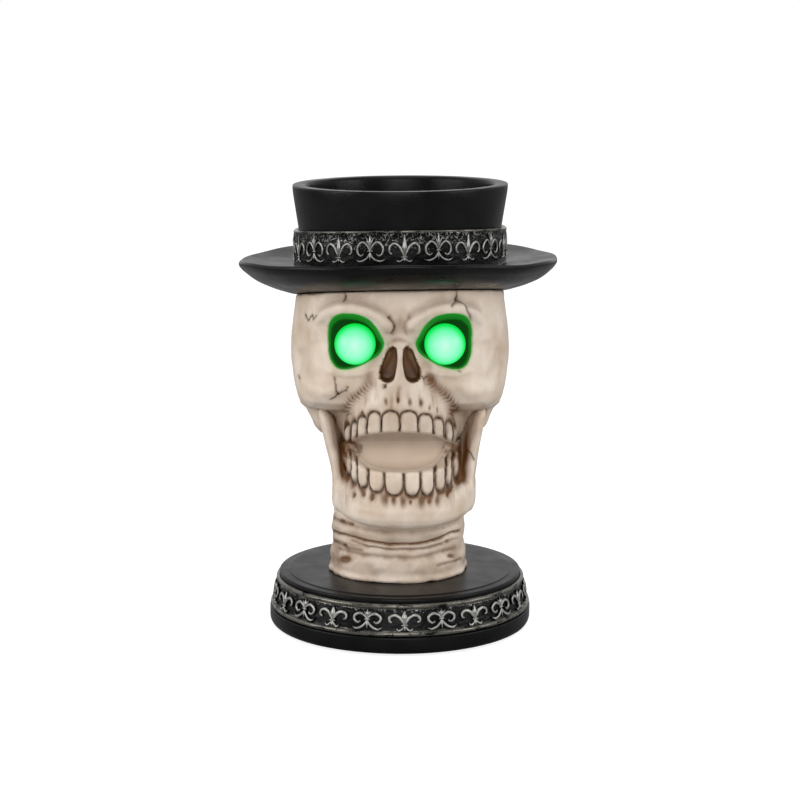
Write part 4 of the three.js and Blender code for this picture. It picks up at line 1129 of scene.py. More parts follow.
def make_bone(name, node, field, carve, step, *zones):
    """Turns a field into a closed skin of quads, finer in the zones, and carves and paints it."""
    low, high = size_of(node)
    axes = [np.arange(low[i] - 2 * step, high[i] + 3 * step, step) for i in range(3)]
    x, y, z = np.meshgrid(*axes, indexing="ij")
    grid = openvdb.FloatGrid(3.0)
    values = np.clip(field(x, y, z) / step, -3, 3).astype(np.float32)
    grid.copyFromArray(np.ascontiguousarray(values))
    points, _, quads = grid.convertToPolygons(isovalue=0.0, adaptivity=0.0)
    points = points * step + np.array([axis[0] for axis in axes])
    mesh = bpy.data.meshes.new(name)
    mesh.from_pydata(points.tolist(), [], quads.tolist())
    body = bmesh.new()
    body.from_mesh(mesh)
    for zone in zones:
        edges = [e for e in body.edges if zone(*e.verts[0].co) and zone(*e.verts[1].co)]
        bmesh.ops.subdivide_edges(body, edges=edges, cuts=1, use_grid_fill=True)
    bmesh.ops.recalc_face_normals(body, faces=body.faces)
    body.to_mesh(mesh)
    body.free()
    points = np.empty(len(mesh.vertices) * 3)
    mesh.vertices.foreach_get("co", points)
    points = points.reshape(-1, 3)
    for _ in range(3):
        slope = gradient(field, points)
        move = field(*points.T) / np.maximum((slope ** 2).sum(1), 0.05)
        points -= slope * np.clip(move, -step, step)[:, None]
    normals = gradient(field, points)
    normals /= np.linalg.norm(normals, axis=1)[:, None] + 1e-9
    height, wash_and_shade, ink, painted_socket_light, glow = carve(points, normals)
    wash_and_shade += deep_shade(*photo_place(*points.T), points)
    grain = fine_noise(points, 5) * GRAIN_HEIGHT + fine_noise(points, 1.6, 1) * FINE_GRAIN_HEIGHT
    points = points + normals * (height + grain)[:, None]
    # Painted shade: the bone is darkened where its own surface closes in over it, in hollows and creases,
    # but not inside the mouth.
    occlusion_shade = np.zeros(len(points))
    for reach in HOLLOW_REACHES:
        occlusion_shade += np.clip(1 - field(*(points + normals * reach).T) / reach, 0, 1.5) / 3
    inside_mouth = mouth_hollow(*points.T) < MOUTH_SHELL
    occlusion_shade[inside_mouth] = 0
    # Painted light: the floor of the mouth is made paler below its middle, as if lit from the front.
    painted_mouth_light = inside_mouth * np.clip((PAINTED_LIGHT_LEVEL - points[:, 2]) / 8, 0, 1)
    wash_and_shade = np.clip(wash_and_shade + 0.75 * occlusion_shade + 0.25 * fine_noise(points, 9, 2) * (0.35 + occlusion_shade), 0, 1)
    mesh.vertices.foreach_set("co", (points * MM).ravel())
    mesh.update()
    mesh.shade_smooth()
    layers = {"painted_mouth_light": painted_mouth_light, "wash_and_shade": wash_and_shade, "ink": ink, "painted_socket_light": painted_socket_light, "glow": glow}
    for layer, values in layers.items():
        set_attribute(mesh, layer, np.clip(values, 0, 1))
    settle(add_object(name, mesh), bone_paint, "bone_resin", node)


# Neck: a stump like a bundle of roots, cast in resin, with two grooves round it, pits and a ragged
# foot that is glued on the plinth. Its upper part carries the skull inside the jaw.
# The lines are paths in the photograph's pixels, with their width, depth and stain.
NECK_LINES = [
    ([
        (334, 531), (338.4, 533), (353, 536.5), (368.6, 541.3), (388, 544), (412, 544), (424.7, 542),
        (440, 537), (450, 533), (459, 531),
    ], 1.1, 1.3, 0.85),
    ([(353, 541), (368.6, 546.5), (396.6, 549.8), (424.6, 548.5), (441, 544)], 1.4, 0.8, 0.45),
    ([(340, 549), (363, 555), (388, 557.4), (416, 558.6), (437, 553), (455, 548)], 2.2, 0.6, 0.3),
    ([(350, 524), (366, 529), (391, 532.5), (416, 532), (441, 527.5), (458, 520)], 1.8, 0.4, 0.2),
    ([(335, 541), (348, 548), (362, 551)], 1.5, 0.5, 0.3),
    ([(438, 566), (450, 563), (461, 559)], 1.6, 0.5, 0.35),
    ([(334, 518), (342, 522), (352, 524)], 2, 0.8, 0.4),
]
NECK_ROLLS = [
    ([(334, 537), (353, 543), (388, 547.5), (416, 547.5), (441, 541), (457, 536)], 2.2, 0.8),
    ([(336, 526), (353, 531), (388, 538), (416, 538), (441, 532), (457, 526)], 4, 0.9),
    ([(376, 568), (384, 568)], 3.5, 0.5),
    ([(414, 571), (421, 568)], 3.5, 0.5),
]
NECK_PITS = [(345, 559.6, 6), (451.3, 556, 3.2), (447, 541.5, 2.4), (344.5, 545.5, 2.2), (342, 520.5, 2)]
FOOT_LEVEL = 34.6


def carve_neck(points, normals):
    """The grooves, rolls and pits of the neck, its ragged foot and the raw flesh of the throat."""
    x, y, z = points.T
    px, py = photo_place(x, y, z)
    ragged = fine_noise(points, 8, 4)
    crumbs = fine_noise(points, 2.6, 6)
    px = px + 1.2 * ragged
    py = py + 0.9 * ragged + 0.35 * crumbs
    ahead = np.clip(-normals[:, 1] * 3 + 0.4, 0, 1) * (z < 76)
    height, wash_and_shade, ink = np.zeros((3, len(points)))
    for path, width, depth, stain in NECK_LINES:
        away = path_distance(px, py, path)
        height -= depth * bell(away, width) * ahead
        wash_and_shade += stain * bell(away, width * 1.2) * ahead
        ink += 0.4 * stain * bell(away, 0.7) * ahead
    for path, width, rise in NECK_ROLLS:
        height += rise * bell(path_distance(px, py, path), width) * ahead
    for across, down, size in NECK_PITS:
        away = np.hypot(px - across, (py - down) * 1.4)
        height -= 1.3 * bell(away, size) * ahead
        wash_and_shade += 0.17 * size * bell(away, size) * ahead
        ink += 0.2 * bell(away - size * 0.7, 0.9) * ahead
    low = np.clip((74 - z) / 8, 0, 1)
    azimuth = np.arctan2(x, -y)
    height += (0.6 * ragged + 0.1 * crumbs) * low
    height += 0.5 * np.sin(azimuth * 5 + 3 * ragged) * low * np.clip(1 - ahead, 0.3, 1)
    height += (0.8 + 0.5 * ragged) * bell(z - FOOT_LEVEL, 1.7)
    wash_and_shade += low * (0.12 + 0.3 * np.clip(-ragged, 0, 1) + 0.08 * np.clip(-crumbs, 0, 1))
    # Painted shade down the neck's sides.
    wash_and_shade += low * (0.3 * bell(px - 333, 9) + 0.1 * bell(px - 466, 7))
    wash_and_shade += 0.15 * bell(z - 38.5, 2.2) * low
    flesh = (z > 88) & (mouth_hollow(x, y, z) > 0.6) & (y < 5)
    threads = fine_noise(points, 3, 5)
    wash_and_shade += flesh * (0.25 + 0.5 * np.clip(-threads, 0, 1))
    height += flesh * 1.1 * threads
    # Painted shade on the neck's front as it rises towards the roof of the mouth.
    bowl = mouth_hollow(x, y, z) < 0.6
    wash_and_shade += bowl * 0.3 * np.clip((z - 101) / 11, 0, 1)
    return height, wash_and_shade, ink, 0 * wash_and_shade, 0 * wash_and_shade


def front_of_stump(x, y, z):
    """Whether a place is on the bare stump, in front."""
    return y < 0 and z < 80


FINE_GRID = 1.2
make_bone("neck_stump", "neck", neck_field, carve_neck, FINE_GRID, front_of_stump)


# Lower jaw: chin, gum and teeth in one resin casting with its two upright branches. It is glued to
# the neck and to the skull, whose cheekbones hide the heads of the branches.

# Teeth are given by their left and right sides and their roots, the row by the teeth's edges, and
# pits by their middle and half sizes, all in the photograph's pixels.
LOWER_TEETH = [
    (385, 403.1, 495.5), (369, 383.7, 491.9), (357.6, 367.6, 487.8), (350.9, 356.9, 482.9),
    (346.2, 350.9, 475.4), (404.5, 419.9, 496.3), (421.2, 433.9, 495.5), (435.9, 445.3, 491.2),
    (446.6, 452, 486.5), (454, 459.4, 478.5),
]
LOWER_ROW = [
    (346.9, 456.4), (353.6, 463), (357.6, 467), (368.3, 468.7), (384.4, 471.8), (403.1, 473.4),
    (419.2, 472.7), (434, 471), (446, 467.7), (451.4, 461.7), (456.7, 455),
]
LOWER_PITS = [
    (354, 494.5, 1.8, 3), (363, 493.5, 2, 3.4), (372, 497, 2.5, 3.8), (384.7, 500, 3.4, 6),
    (393.8, 501.2, 2.2, 4), (403.3, 502, 2.8, 6.2), (410.6, 502.6, 1.4, 2.2), (421.8, 502, 3.3, 6),
    (429.6, 501.6, 2.2, 3.6), (438, 501, 2.4, 5.4), (447.5, 493, 1.7, 4.4),
]
CHIN_SHADOW_LINE = [
    (334, 513), (345, 522), (362, 529), (385, 532.5), (407, 533.5), (425, 531.5), (441, 526),
    (462, 515),
]
JAW_CRACK = [(467, 450), (471, 453), (474, 460)]


def teeth_relief(px, py, teeth, row, weight):
    """Height, wash with painted shade round the teeth, and ink of a row of teeth, given by their sides and
    roots in pixels.
    """
    edge = np.interp(px, *np.array(row).T)
    height, wash_and_shade = np.zeros((2, len(px)))
    closest = np.full(len(px), 1e9)
    for left, right, root in teeth:
        half = (right - left) / 2
        u = (px - (left + right) / 2) / half
        v = (py - edge) / (root - edge)
        beyond = np.clip((v - 0.5) / 0.5, 0, None)
        share = (np.abs(u) ** 2.4 + beyond ** 2.4) ** (1 / 2.4)
        within = np.where((v < -0.5) | (v > 3), -1e3, (1 - share) * half)
        closest = np.minimum(closest, np.abs(within))
        rise = np.clip(within / 3.2, 0, 1)
        height += 0.8 * (1 - (1 - rise) ** 2) * (within > 0)
        wash_and_shade += (within > 0) * 0.16 * np.clip(v, 0, 1) ** 2
    outside = height == 0
    height -= 0.6 * bell(closest, 1.3)
    ink = bell(closest, 0.8) * (0.8 + 0.3 * np.sin(px * 0.9 + py * 0.35))
    # Painted shade round the teeth and along their outlines.
    wash_and_shade += 0.6 * bell(closest, 2.4) * outside + 0.3 * bell(closest, 1.5)
    return np.array([height, wash_and_shade, ink]) * weight


def pits_relief(px, py, pits, weight):
    """Height, darkening by depth and ink of pits given by their place and half sizes in pixels."""
    height, ink = np.zeros((2, len(px)))
    for across, down, half_width, half_height in pits:
        away = np.hypot((px - across) / half_width, (py - down) / half_height)
        height -= bell(away, 1.1)
        ink += 0.3 * bell(np.hypot(away - 0.7, 0.6 * (px - across) / half_width + 0.5), 0.35)
    return np.array([height, np.clip(-0.62 * height, 0, 0.8), ink]) * weight


def streaks(points, size):
    """Noise drawn out upwards, as the roots of teeth show through bone."""
    return fine_noise(points * np.array([1, 0.6, 0.16]), size, 11)


def row_relief(points, normals, teeth, row, pits, top, foot):
    """Where a jaw shows its front, and the relief of its teeth between two heights in pixels."""
    x, y, z = points.T
    px, py = photo_place(x, y, z)
    outer = np.clip(mouth_hollow(x, y, z) - 1.5, 0, 1) * np.clip(-y / 6 - 3.2, 0, 1)
    facing = np.clip(-normals[:, 1] * 4 + 0.6, 0, 1)
    ahead = outer * facing
    waver = 0.5 * fine_noise(points, 3, 8)
    here = ahead * np.clip((py - top) / 6, 0, 1) * np.clip((foot - py) / 4, 0, 1)
    relief = teeth_relief(px + waver, py + waver, teeth, row, here)
    relief += pits_relief(px + waver, py + 2 * waver, pits, ahead)
    return facing, ahead, waver, relief


def carve_jaw(points, normals):
    """The lower teeth, the pits below them and the lines of the chin, with painted shade under the chin
    and on the inner sides of the branches.
    """
    x, y, z = points.T
    px, py = photo_place(x, y, z)
    facing, ahead, _, (height, wash_and_shade, ink) = row_relief(
        points, normals, LOWER_TEETH, LOWER_ROW, LOWER_PITS, 0, 505,
    )
    band = ahead * bell(py - 498, 8) * (np.abs(px - 400) < 55)
    grain = streaks(points, 2.2)
    height += 0.4 * grain * band
    wash_and_shade += (0.2 + 0.3 * np.clip(-grain, 0, 1)) * band
    # Painted shadow in a line under the chin.
    wash_and_shade += 0.12 * bell(path_distance(px, py, CHIN_SHADOW_LINE), 2.6) * facing
    own = x - JAW_SHIFT
    branch = (z > 84) & (y > -32) & (np.abs(own) > 32)
    # Painted shade on the inner sides of the jaw's branches.
    wash_and_shade += branch * 0.25 * np.clip(0.3 - np.sign(own) * normals[:, 0], 0, 1)
    flutes = fine_noise(points * np.array([1, 1, 0.12]), 4, 9)
    height += branch * 0.7 * flutes
    wash_and_shade += branch * 0.3 * np.clip(-flutes, 0, 1)
    ink += 0.9 * bell(path_distance(px, py, JAW_CRACK), 0.8) * (z > 84)
    return height, wash_and_shade, ink, 0 * ink, 0 * ink


def front_of_jaw(x, y, z):
    """Whether a place is on the chin or the row of teeth."""
    return y < -14


def lower_teeth_at(x, y, z):
    """Whether a place is on the lower teeth or the gum below them."""
    return y < -22 and z > 84 and abs(x - JAW_SHIFT) < 37


make_bone("jaw_bone", "lower_jaw", jaw_field, carve_jaw, FINE_GRID, front_of_jaw, lower_teeth_at)


# Skull: cranium, face and upper teeth in one resin casting, with sockets, nose and mouth hollowed
# out. It stands on the neck and the jaw, and the hat is glued on it.
# Cracks, creases, ridges and pleats are paths in pixels too, with their widths, heights and stains.
UPPER_TEETH = [
    (381.8, 399.4, 411.5), (367.2, 381, 412.2), (357.3, 366.5, 416.4), (351, 356.5, 421.5),
    (344, 350, 424.5), (400.2, 417.8, 411.5), (418.5, 433, 414.6), (433.8, 443.8, 418.2),
    (446, 453, 421.5), (453.5, 458, 426),
]
UPPER_ROW = [
    (345.5, 441.6), (353.6, 439), (361.6, 435), (367, 433.6), (380.4, 432), (399.8, 431.3),
    (416.5, 432), (432.6, 434.7), (444.7, 439), (454, 443), (460.7, 445.6),
]
ROOT_PITS = [
    (386, 402, 1.8, 3.4), (398, 401, 1.2, 2.6), (410.3, 403.2, 2, 3.8), (421.8, 403.2, 2, 4),
    (430, 408, 1.3, 2.6), (362, 413, 1.2, 2.4), (438, 410, 1.2, 2.6),
]
CRACKS = [
    [(344.5, 284), (344, 290), (345, 295), (343.6, 301)],
    [(456.6, 291), (457.5, 297), (456.4, 300), (453.6, 304), (450.5, 307)],
    [(456.8, 299.5), (462, 303), (464.5, 306), (466, 311), (469.6, 315), (471, 320)],
    [(305, 314.5), (308, 321), (309.5, 318), (312, 315), (313.5, 320), (316.5, 315.5)],
    [(388, 317), (392, 321), (395, 327), (393.5, 331), (391, 334)],
    [(334.5, 378), (335.6, 384), (336, 390), (338.4, 395)],
    [(338.4, 395), (342, 392), (346, 391), (348, 387)],
    [(338, 394.5), (334.5, 398), (331, 400)],
    [(383, 384.5), (385.5, 387.5)],
    [(386, 384), (383.5, 387.5)],
    [(421, 376), (424, 379), (427, 377.5)],
    [(298, 376), (299.5, 378.5)],
    [(458.6, 371), (460, 371.6)],
    [(294, 292.5), (300, 294), (306, 292.8), (313, 294.2), (320, 292.5)],
]
CREASES = [
    ([(399.6, 388), (398.6, 394), (398.4, 401)], 1.8, 0.5, 0.3),
    ([(399.5, 322), (399.5, 338)], 9, 0.3, 0.08),
    ([
        (387, 352), (389, 345), (393.5, 340.8), (399.5, 339.4), (405.5, 340.8), (410, 345), (412, 352),
    ], 1.6, 0.5, 0.3),
    *both_sides([
        (318, 308), (326, 302.5), (340, 298.5), (356, 299), (371, 303.5), (384, 311), (390, 317),
    ], 3.4, 1, 0.1),
    *both_sides([(390, 317), (394.4, 323), (395, 328), (392.6, 334)], 1.7, 0.6, 0.25),
    *both_sides([(380, 344), (377, 356), (371, 368), (367, 380)], 4.5, 0.8, 0.14),
    *both_sides([(301, 350), (305, 364), (311, 376)], 5, 0.5, 0.08),
]
RIDGES = [
    *both_sides([
        (315, 338), (317, 324), (324, 313), (338, 307), (352, 306), (366, 309.5), (379, 317), (388, 327),
    ], 4.6, 1.7),
    *both_sides([(330, 372), (345, 376), (362, 375), (374, 369)], 2.2, 0.5),
    ([(389, 349), (392.5, 344.5), (399.5, 342.6), (406.5, 344.5), (410, 349)], 2.4, 0.9),
    *both_sides([(391, 352), (385, 364), (378, 378), (377, 388)], 2.6, 0.7),
    *both_sides([(316, 388), (324, 391), (334, 390)], 6, 0.8),
    ([(399.6, 348), (399.6, 384)], 1.6, 0.5),
    *both_sides([(306, 384), (303, 395), (312, 404)], 4, 0.9),
]
PLEATS = [
    ([(371, 383), (362, 391), (353, 399), (345, 409), (342, 424)], 4.6, 0.33),
    ([(430, 381), (438, 388), (446, 396), (453, 405), (458, 418)], 5.5, 0.6),
]
PLEAT_LENGTH = 3.7


def carve_skull(points, normals):
    """The upper teeth with their roots, folds, cracks, painted shade under the brim, down the face and in
    the mouth, and the painted green light in the sockets.
    """
    x, y, z = points.T
    px, py = photo_place(x, y, z)
    facing, ahead, waver, (height, wash_and_shade, ink) = row_relief(
        points, normals, UPPER_TEETH, UPPER_ROW, ROOT_PITS, 398, 452,
    )
    band = ahead * bell(py - 401, 10) * np.clip((44 - np.abs(px - FACE_MIDDLE)) / 6, 0, 1)
    grain = streaks(points, 2.6)
    height += 0.7 * grain * band
    wash_and_shade += 0.5 * np.clip(-grain, 0, 1) * band
    jitter = fine_noise(points, 1.5, 15)
    for path in CRACKS:
        away = path_distance(px + 0.9 * jitter, py + 0.5 * waver, path)
        height -= 0.7 * bell(away, 1.1) * facing
        ink += 0.9 * bell(away, 0.75) * facing
        wash_and_shade += 0.15 * bell(away, 2.4) * facing
    for path, width, depth, stain in CREASES:
        away = path_distance(px, py, path)
        height -= depth * bell(away, width) * ahead
        wash_and_shade += stain * bell(away, width * 1.1) * ahead
    # Painted shade down the middle of the face, over the nose and the muzzle.
    wash_and_shade += 0.17 * ahead * bell(px - FACE_MIDDLE, 30) * bell(py - 362, 40)
    for path, width, rise in RIDGES:
        height += rise * bell(path_distance(px, py, path), width) * ahead
    for path, width, stain in PLEATS:
        away, travelled = along_path(px, py, path)
        swirl = fine_noise(points, 6, 12)
        fold = np.sin(2 * math.pi * (travelled + 0.5 * away + 1.5 * swirl) / PLEAT_LENGTH)
        strip = bell(away, width) * ahead
        depth = strip * np.clip(0.75 + 0.8 * fine_noise(points, 4, 16), 0.15, 1)
        height += 0.5 * fold * depth - 0.5 * strip
        wash_and_shade += stain * strip + 0.3 * np.clip(-fold, 0, 1) * depth
        ink += 0.3 * np.clip(-fold - 0.75, 0, 1) * depth
    piece_behind = (np.abs(x) > 42) & (z < 134) & (y < 16)
    hollows = fine_noise(points * np.array([1, 1, 0.3]), 5, 13)
    height += piece_behind * 0.8 * hollows
    wash_and_shade += piece_behind * (0.12 + 0.4 * np.clip(-hollows, 0, 1))
    # Painted shadow of the brim on the top of the head.
    brim_shadow = np.clip((z - hat_underside(x, y) + 5) / 5, 0, 1)
    wash_and_shade += 0.42 * brim_shadow ** 2
    # Painted shade on the skull's lowest band, over the mouth and under the head, and deeper in the mouth.
    wash_and_shade += np.clip((118 - z) / 4, 0, 1) * (y < 12) * 0.3
    wash_and_shade += 0.08 * (mouth_hollow(x, y, z) < 0.6) * np.clip((-y - 6) / 20, 0, 1)
    brushed = fine_noise(points * np.array([1, 1, 0.22]), 3.4, 14)
    wash_and_shade += 0.1 * np.clip(brushed, 0, 1)
    # Painted green light in the sockets: near-black green inside, a glowing edge at the rim, and a spill
    # of green light on the bone round them, most below and towards the nose.
    rim = socket_distance(x, y, z)
    socket = np.clip((-y - 30) / 6, 0, 1) * np.clip((z - 150) / 4, 0, 1)
    painted_socket_light = socket * np.clip(-(rim - 0.7) / 0.5, 0, 1)
    low_side = np.clip((SOCKET_MIDDLE[1] - z) / 10 + (25 - np.abs(x)) / 12, 0, 1)
    spill = socket * np.exp(-np.maximum(rim - 0.7, 0) / 1.2) * (0.02 + 0.2 * low_side)
    deep = np.clip((-y - SOCKET_FLOOR) / 15, 0, 1)
    edge = bell(rim - 0.3, 0.45)
    glow = np.where(painted_socket_light > 0.5, 0.12 * deep + 0.3 * edge + 0.1 * deep * np.sin(z / 3) ** 2, 0.8)
    painted_socket_light = np.maximum(painted_socket_light, spill)
    # Painted shade inside the nostrils, darkest towards their bottom.
    nose = outline_distance(np.abs(x), z, NOSE_OUTLINE)
    nostril_shade = (nose < 0.5) * (y < -40) * np.clip((y + 60) / 4, 0, 1)
    wash_and_shade += nostril_shade
    ink += 0.35 * nostril_shade * np.clip((168 - z) / 10, 0, 1)
    return height, wash_and_shade, ink, painted_socket_light, glow


def face_at(x, y, z):
    """Whether a place is on the face."""
    return y < -20


def upper_teeth_at(x, y, z):
    """Whether a place is on the upper teeth or the bone over their roots."""
    return y < -22 and 112 < z < 146 and abs(x) < 38


COARSE_GRID = 1.62
make_bone("skull_bone", "skull", skull_field, carve_skull, COARSE_GRID, face_at, upper_teeth_at)


# Hat band: a resin ring with the same two motifs, painted black and rubbed over with silver. It is
# glued round the crown, drawn up in front with the brim, and tilted with the hat.
BAND_FOOT = BRIM_RISE - BRIM_DISH + 0.3
BAND_HEAD = BAND_FOOT + 19.7
BAND_FACE = BAND_RADIUS - 0.9
BAND_SEAT = CROWN_FOOT + 0.3
BAND_BORDER = 0.9
BAND_LIFT = 4.7
ring_levels = np.linspace(BAND_FOOT + 1.4, BAND_HEAD - 1.4, 24)
hat_band = turn("hat_band_ground", fillet([
    (BAND_SEAT, BAND_FOOT, 0),
    (BAND_RADIUS - 0.2, BAND_FOOT, 0.6),
    (BAND_RADIUS - 0.3, BAND_FOOT + BAND_BORDER, 0.3),
    *[(BAND_FACE, level, 0) for level in ring_levels[2:-2]],
    (BAND_RADIUS - 0.4, BAND_HEAD - BAND_BORDER, 0.3),
    (BAND_RADIUS - 0.3, BAND_HEAD, 0.6),
    (BAND_SEAT, BAND_HEAD, 0),
    (BAND_SEAT, BAND_FOOT, 0),
]), 380)
roughen(hat_band, BAND_FOOT + BAND_BORDER, BAND_HEAD - BAND_BORDER, 0.42, 8)


def raise_band(piece, foot=None):
    """Draws a piece of the band up in front, as a whole, or stretched from a foot that stays."""
    for corner in piece.data.vertices:
        reach = math.hypot(corner.co.x, corner.co.y)
        ahead = max(0, -corner.co.y / reach) ** 1.2
        share = (corner.co.z / MM - foot) / (BAND_HEAD - foot) if foot else 1
        corner.co.z += BAND_LIFT * MM * ahead * share


raise_band(hat_band, BAND_FOOT)
tilt_hat(hat_band)
settle(hat_band, silver_rub, "silvered_resin", "hat_band")

HAT_MOTIFS = 10
HAT_TURN = math.radians(2.3)
HAT_MOTIF_HALF_WIDTH = MOTIF_HALF_WIDTH - 0.4
HAT_MOTIF_HALF_HEIGHT = 7.8
HAT_MOTIF_LEVEL = BAND_HEAD - 9.2
STROKES_SLIMMED = 0.78
STROKES_SAG = 0.3
for ring in ornament(
    "hat", HAT_MOTIFS, HAT_TURN, HAT_MOTIF_HALF_WIDTH, HAT_MOTIF_HALF_HEIGHT,
    lambda level: BAND_FACE, HAT_MOTIF_LEVEL, STROKES_SLIMMED, STROKES_SAG,
):
    raise_band(ring)
    tilt_hat(ring)
    settle(ring, None, "silvered_resin")


# Eyes: a frosted plastic dome in each socket, moulded thin and glued to the bone, lit green from
# behind. The light falls off from the middle, so that the dome is nearly white there.
DOME_RADIUS = 11.7
DOME_WALL = 1.2
DOME_STOPS = ((0, "#BCFCDD"), (0.45, "#9CFCCF"), (0.75, "#70FAB0"), (0.92, "#25F070"), (1, "#00D83A"))
dome_profile = [
    Vector((DOME_RADIUS, 0)),
    *arc(0, DOME_WALL, DOME_RADIUS, 0, 90, 14),
    *arc(0, DOME_WALL, DOME_RADIUS - DOME_WALL, 90, 0, 14),
    Vector((DOME_RADIUS - DOME_WALL, 0)),
    Vector((DOME_RADIUS, 0)),
]
for side in ("left", "right"):
    dome_low, dome_high = size_of("eye_dome_" + side)
    middle = Vector(((dome_low.x + dome_high.x) / 2, dome_high.y, (dome_low.z + dome_high.z) / 2))
    diffuser, tree, shader, place = start_material("lit_green_diffuser_" + side)
    centred = add_node(tree, "ShaderNodeVectorMath", {0: place, 1: tuple(-middle * MM)}, operation="ADD")
    flat = add_node(tree, "ShaderNodeVectorMath", {0: centred, 1: (1, 0, 1)}, operation="MULTIPLY")
    reach = add_node(tree, "ShaderNodeVectorMath", {0: flat}, operation="LENGTH")
    share = add_node(tree, "ShaderNodeMath", {0: reach, 1: 1 / (DOME_RADIUS * MM)}, operation="MULTIPLY")
    ramp = add_node(tree, "ShaderNodeValToRGB", {"Fac": share})
    stops = ramp.color_ramp.elements
    while len(stops) < len(DOME_STOPS):
        stops.new(0.5)
    for stop, (position, colour) in zip(stops, DOME_STOPS):
        stop.position = position
        stop.color = linear(colour)
    fill(shader, {
        "Base Color": linear("#04210C"), "Roughness": 0.35, "Emission Color": ramp, "Emission Strength": 1,
    })
    dome = turn("lit_dome_" + side, dome_profile, 72)
    for corner in dome.data.vertices:
        x, y, z = corner.co
        corner.co = Vector((x, -z, y)) + middle * MM
    settle(dome, diffuser, "green_diffuser", "eye_dome_" + side)


# Lamps and wires: a clear green 5 mm lamp behind each dome, held by a drop of glue, and a pair of
# thin wires in black vinyl from it through the head down to the battery box.
def dress(node, material):
    """Paints a CAD piece that is hidden or as fine as the eye needs."""
    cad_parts[node].data.materials.clear()
    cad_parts[node].data.materials.append(material)


# Clear green epoxy glows unevenly, brighter where it is thin.
epoxy, tree, shader, place = start_material("clear_green_epoxy")
schlieren = add_node(tree, "ShaderNodeTexNoise", {"Vector": place, "Scale": 1 / (2 * MM)})
light = add_node(tree, "ShaderNodeMix", {
    "Factor": schlieren, "A": linear("#3FFF78"), "B": linear("#B8FFD2"),
}, data_type="RGBA")
fill(shader, {
    "Base Color": linear("#7CFFAE"), "Roughness": 0.12, "Emission Color": light, "Emission Strength": 1,
})

# Soft black vinyl is greyed in patches by dust.
vinyl, tree, shader, place = start_material("soft_black_vinyl")
dust = add_node(tree, "ShaderNodeTexNoise", {"Vector": place, "Scale": 1 / (3 * MM), "Detail": 3})
tint = add_node(tree, "ShaderNodeMix", {
    "Factor": dust, "A": linear("#141414"), "B": linear("#2B2A29"),
}, data_type="RGBA")
fill(shader, {"Base Color": tint, "Roughness": 0.42})
for side in ("left", "right"):
    dress("eye_led_" + side, epoxy)
    dress("eye_wire_" + side, vinyl)


# Battery box with its door and switch: moulded in black ABS with a fine matt grain from the
# mould and softly rounded edges. The box sits in the plinth's pocket, held by two screws.
def soften(node, name, edge, material, slot, body=FIGURE):
    """A finer piece after a CAD node, with its sharp edges rounded."""
    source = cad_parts[node]
    work = bmesh.new()
    work.from_mesh(source.data)
    work.transform(source.matrix_world)
    bmesh.ops.remove_doubles(work, verts=work.verts, dist=SLIVER_WIDTH)
    bmesh.ops.dissolve_limit(work, angle_limit=math.radians(1), verts=work.verts, edges=work.edges)
    bmesh.ops.recalc_face_normals(work, faces=work.faces)
    mesh = bpy.data.meshes.new(name)
    work.to_mesh(mesh)
    work.free()
    piece = add_object(name, mesh)
    rounding = piece.modifiers.new("rounding", "BEVEL")
    rounding.width = edge * MM
    rounding.segments = 2
    rounding.limit_method = "ANGLE"
    rounding.angle_limit = SHARP_ANGLE
    apply_modifiers(piece)
    settle(piece, material, slot, node, body=body)
    return piece


# Matt black ABS: the fine grain of a spark-eroded mould, and faint clouds where the plastic flowed.
abs_plastic, tree, shader, place = start_material("matt_black_abs")
spark = add_node(tree, "ShaderNodeTexNoise", {"Vector": place, "Scale": 1 / (0.35 * MM), "Detail": 2})
flow = add_node(tree, "ShaderNodeTexNoise", {"Vector": place, "Scale": 1 / (12 * MM), "Detail": 2})
tint = add_node(tree, "ShaderNodeMix", {
    "Factor": flow, "A": linear("#101012"), "B": linear("#1C1C1F"),
}, data_type="RGBA")
bump = add_node(tree, "ShaderNodeBump", {"Height": spark, "Strength": 0.3, "Distance": 0.05 * MM})
fill(shader, {"Base Color": tint, "Roughness": 0.52, "Normal": bump})
soften("battery_box", "moulded_battery_box", 0.25, abs_plastic, "black_plastic")
soften("battery_door", "moulded_battery_door", 0.3, abs_plastic, "black_plastic", body="door")
soften("switch_body", "moulded_switch_body", 0.3, abs_plastic, "black_plastic")
soften("switch_slider", "moulded_switch_knob", 0.3, abs_plastic, "black_plastic", body="slider")


# Contacts and screws: springs wound from steel wire, stamped plates and pan-head screws, all
# nickel plated, which gives them a warm bright shine with faint scratches.
nickel, tree, shader, place = start_material("nickel_plated_steel")
wiping = add_node(tree, "ShaderNodeTexNoise", {"Vector": place, "Scale": 1 / (0.8 * MM), "Detail": 5})
haze = add_node(tree, "ShaderNodeMapRange", {"Value": wiping, "To Min": 0.16, "To Max": 0.38})
fill(shader, {"Base Color": linear("#C2BFB8"), "Metallic": 1, "Roughness": haze})
for i in (1, 2, 3):
    dress(f"contact_spring_{i}", nickel)
    soften(f"contact_plate_{i}", f"stamped_contact_plate_{i}", 0.1, nickel, "plated_steel")
SCREW_SLOT_REACH = 1.7
SCREW_SLOT_HALF = 0.35
SCREW_SLOT_DEPTH = 0.8
for i in (1, 2):
    screw = soften(f"box_screw_{i}", f"pan_head_screw_{i}", 0.4, nickel, "plated_steel")
    low, high = size_of(f"box_screw_{i}")
    middle = (low + high) / 2
    for across, along in ((SCREW_SLOT_REACH, SCREW_SLOT_HALF), (SCREW_SLOT_HALF, SCREW_SLOT_REACH)):
        cut_block(
            screw,
            (middle.x - across, middle.y - along, low.z - 1),
            (middle.x + across, middle.y + along, low.z + SCREW_SLOT_DEPTH),
        )


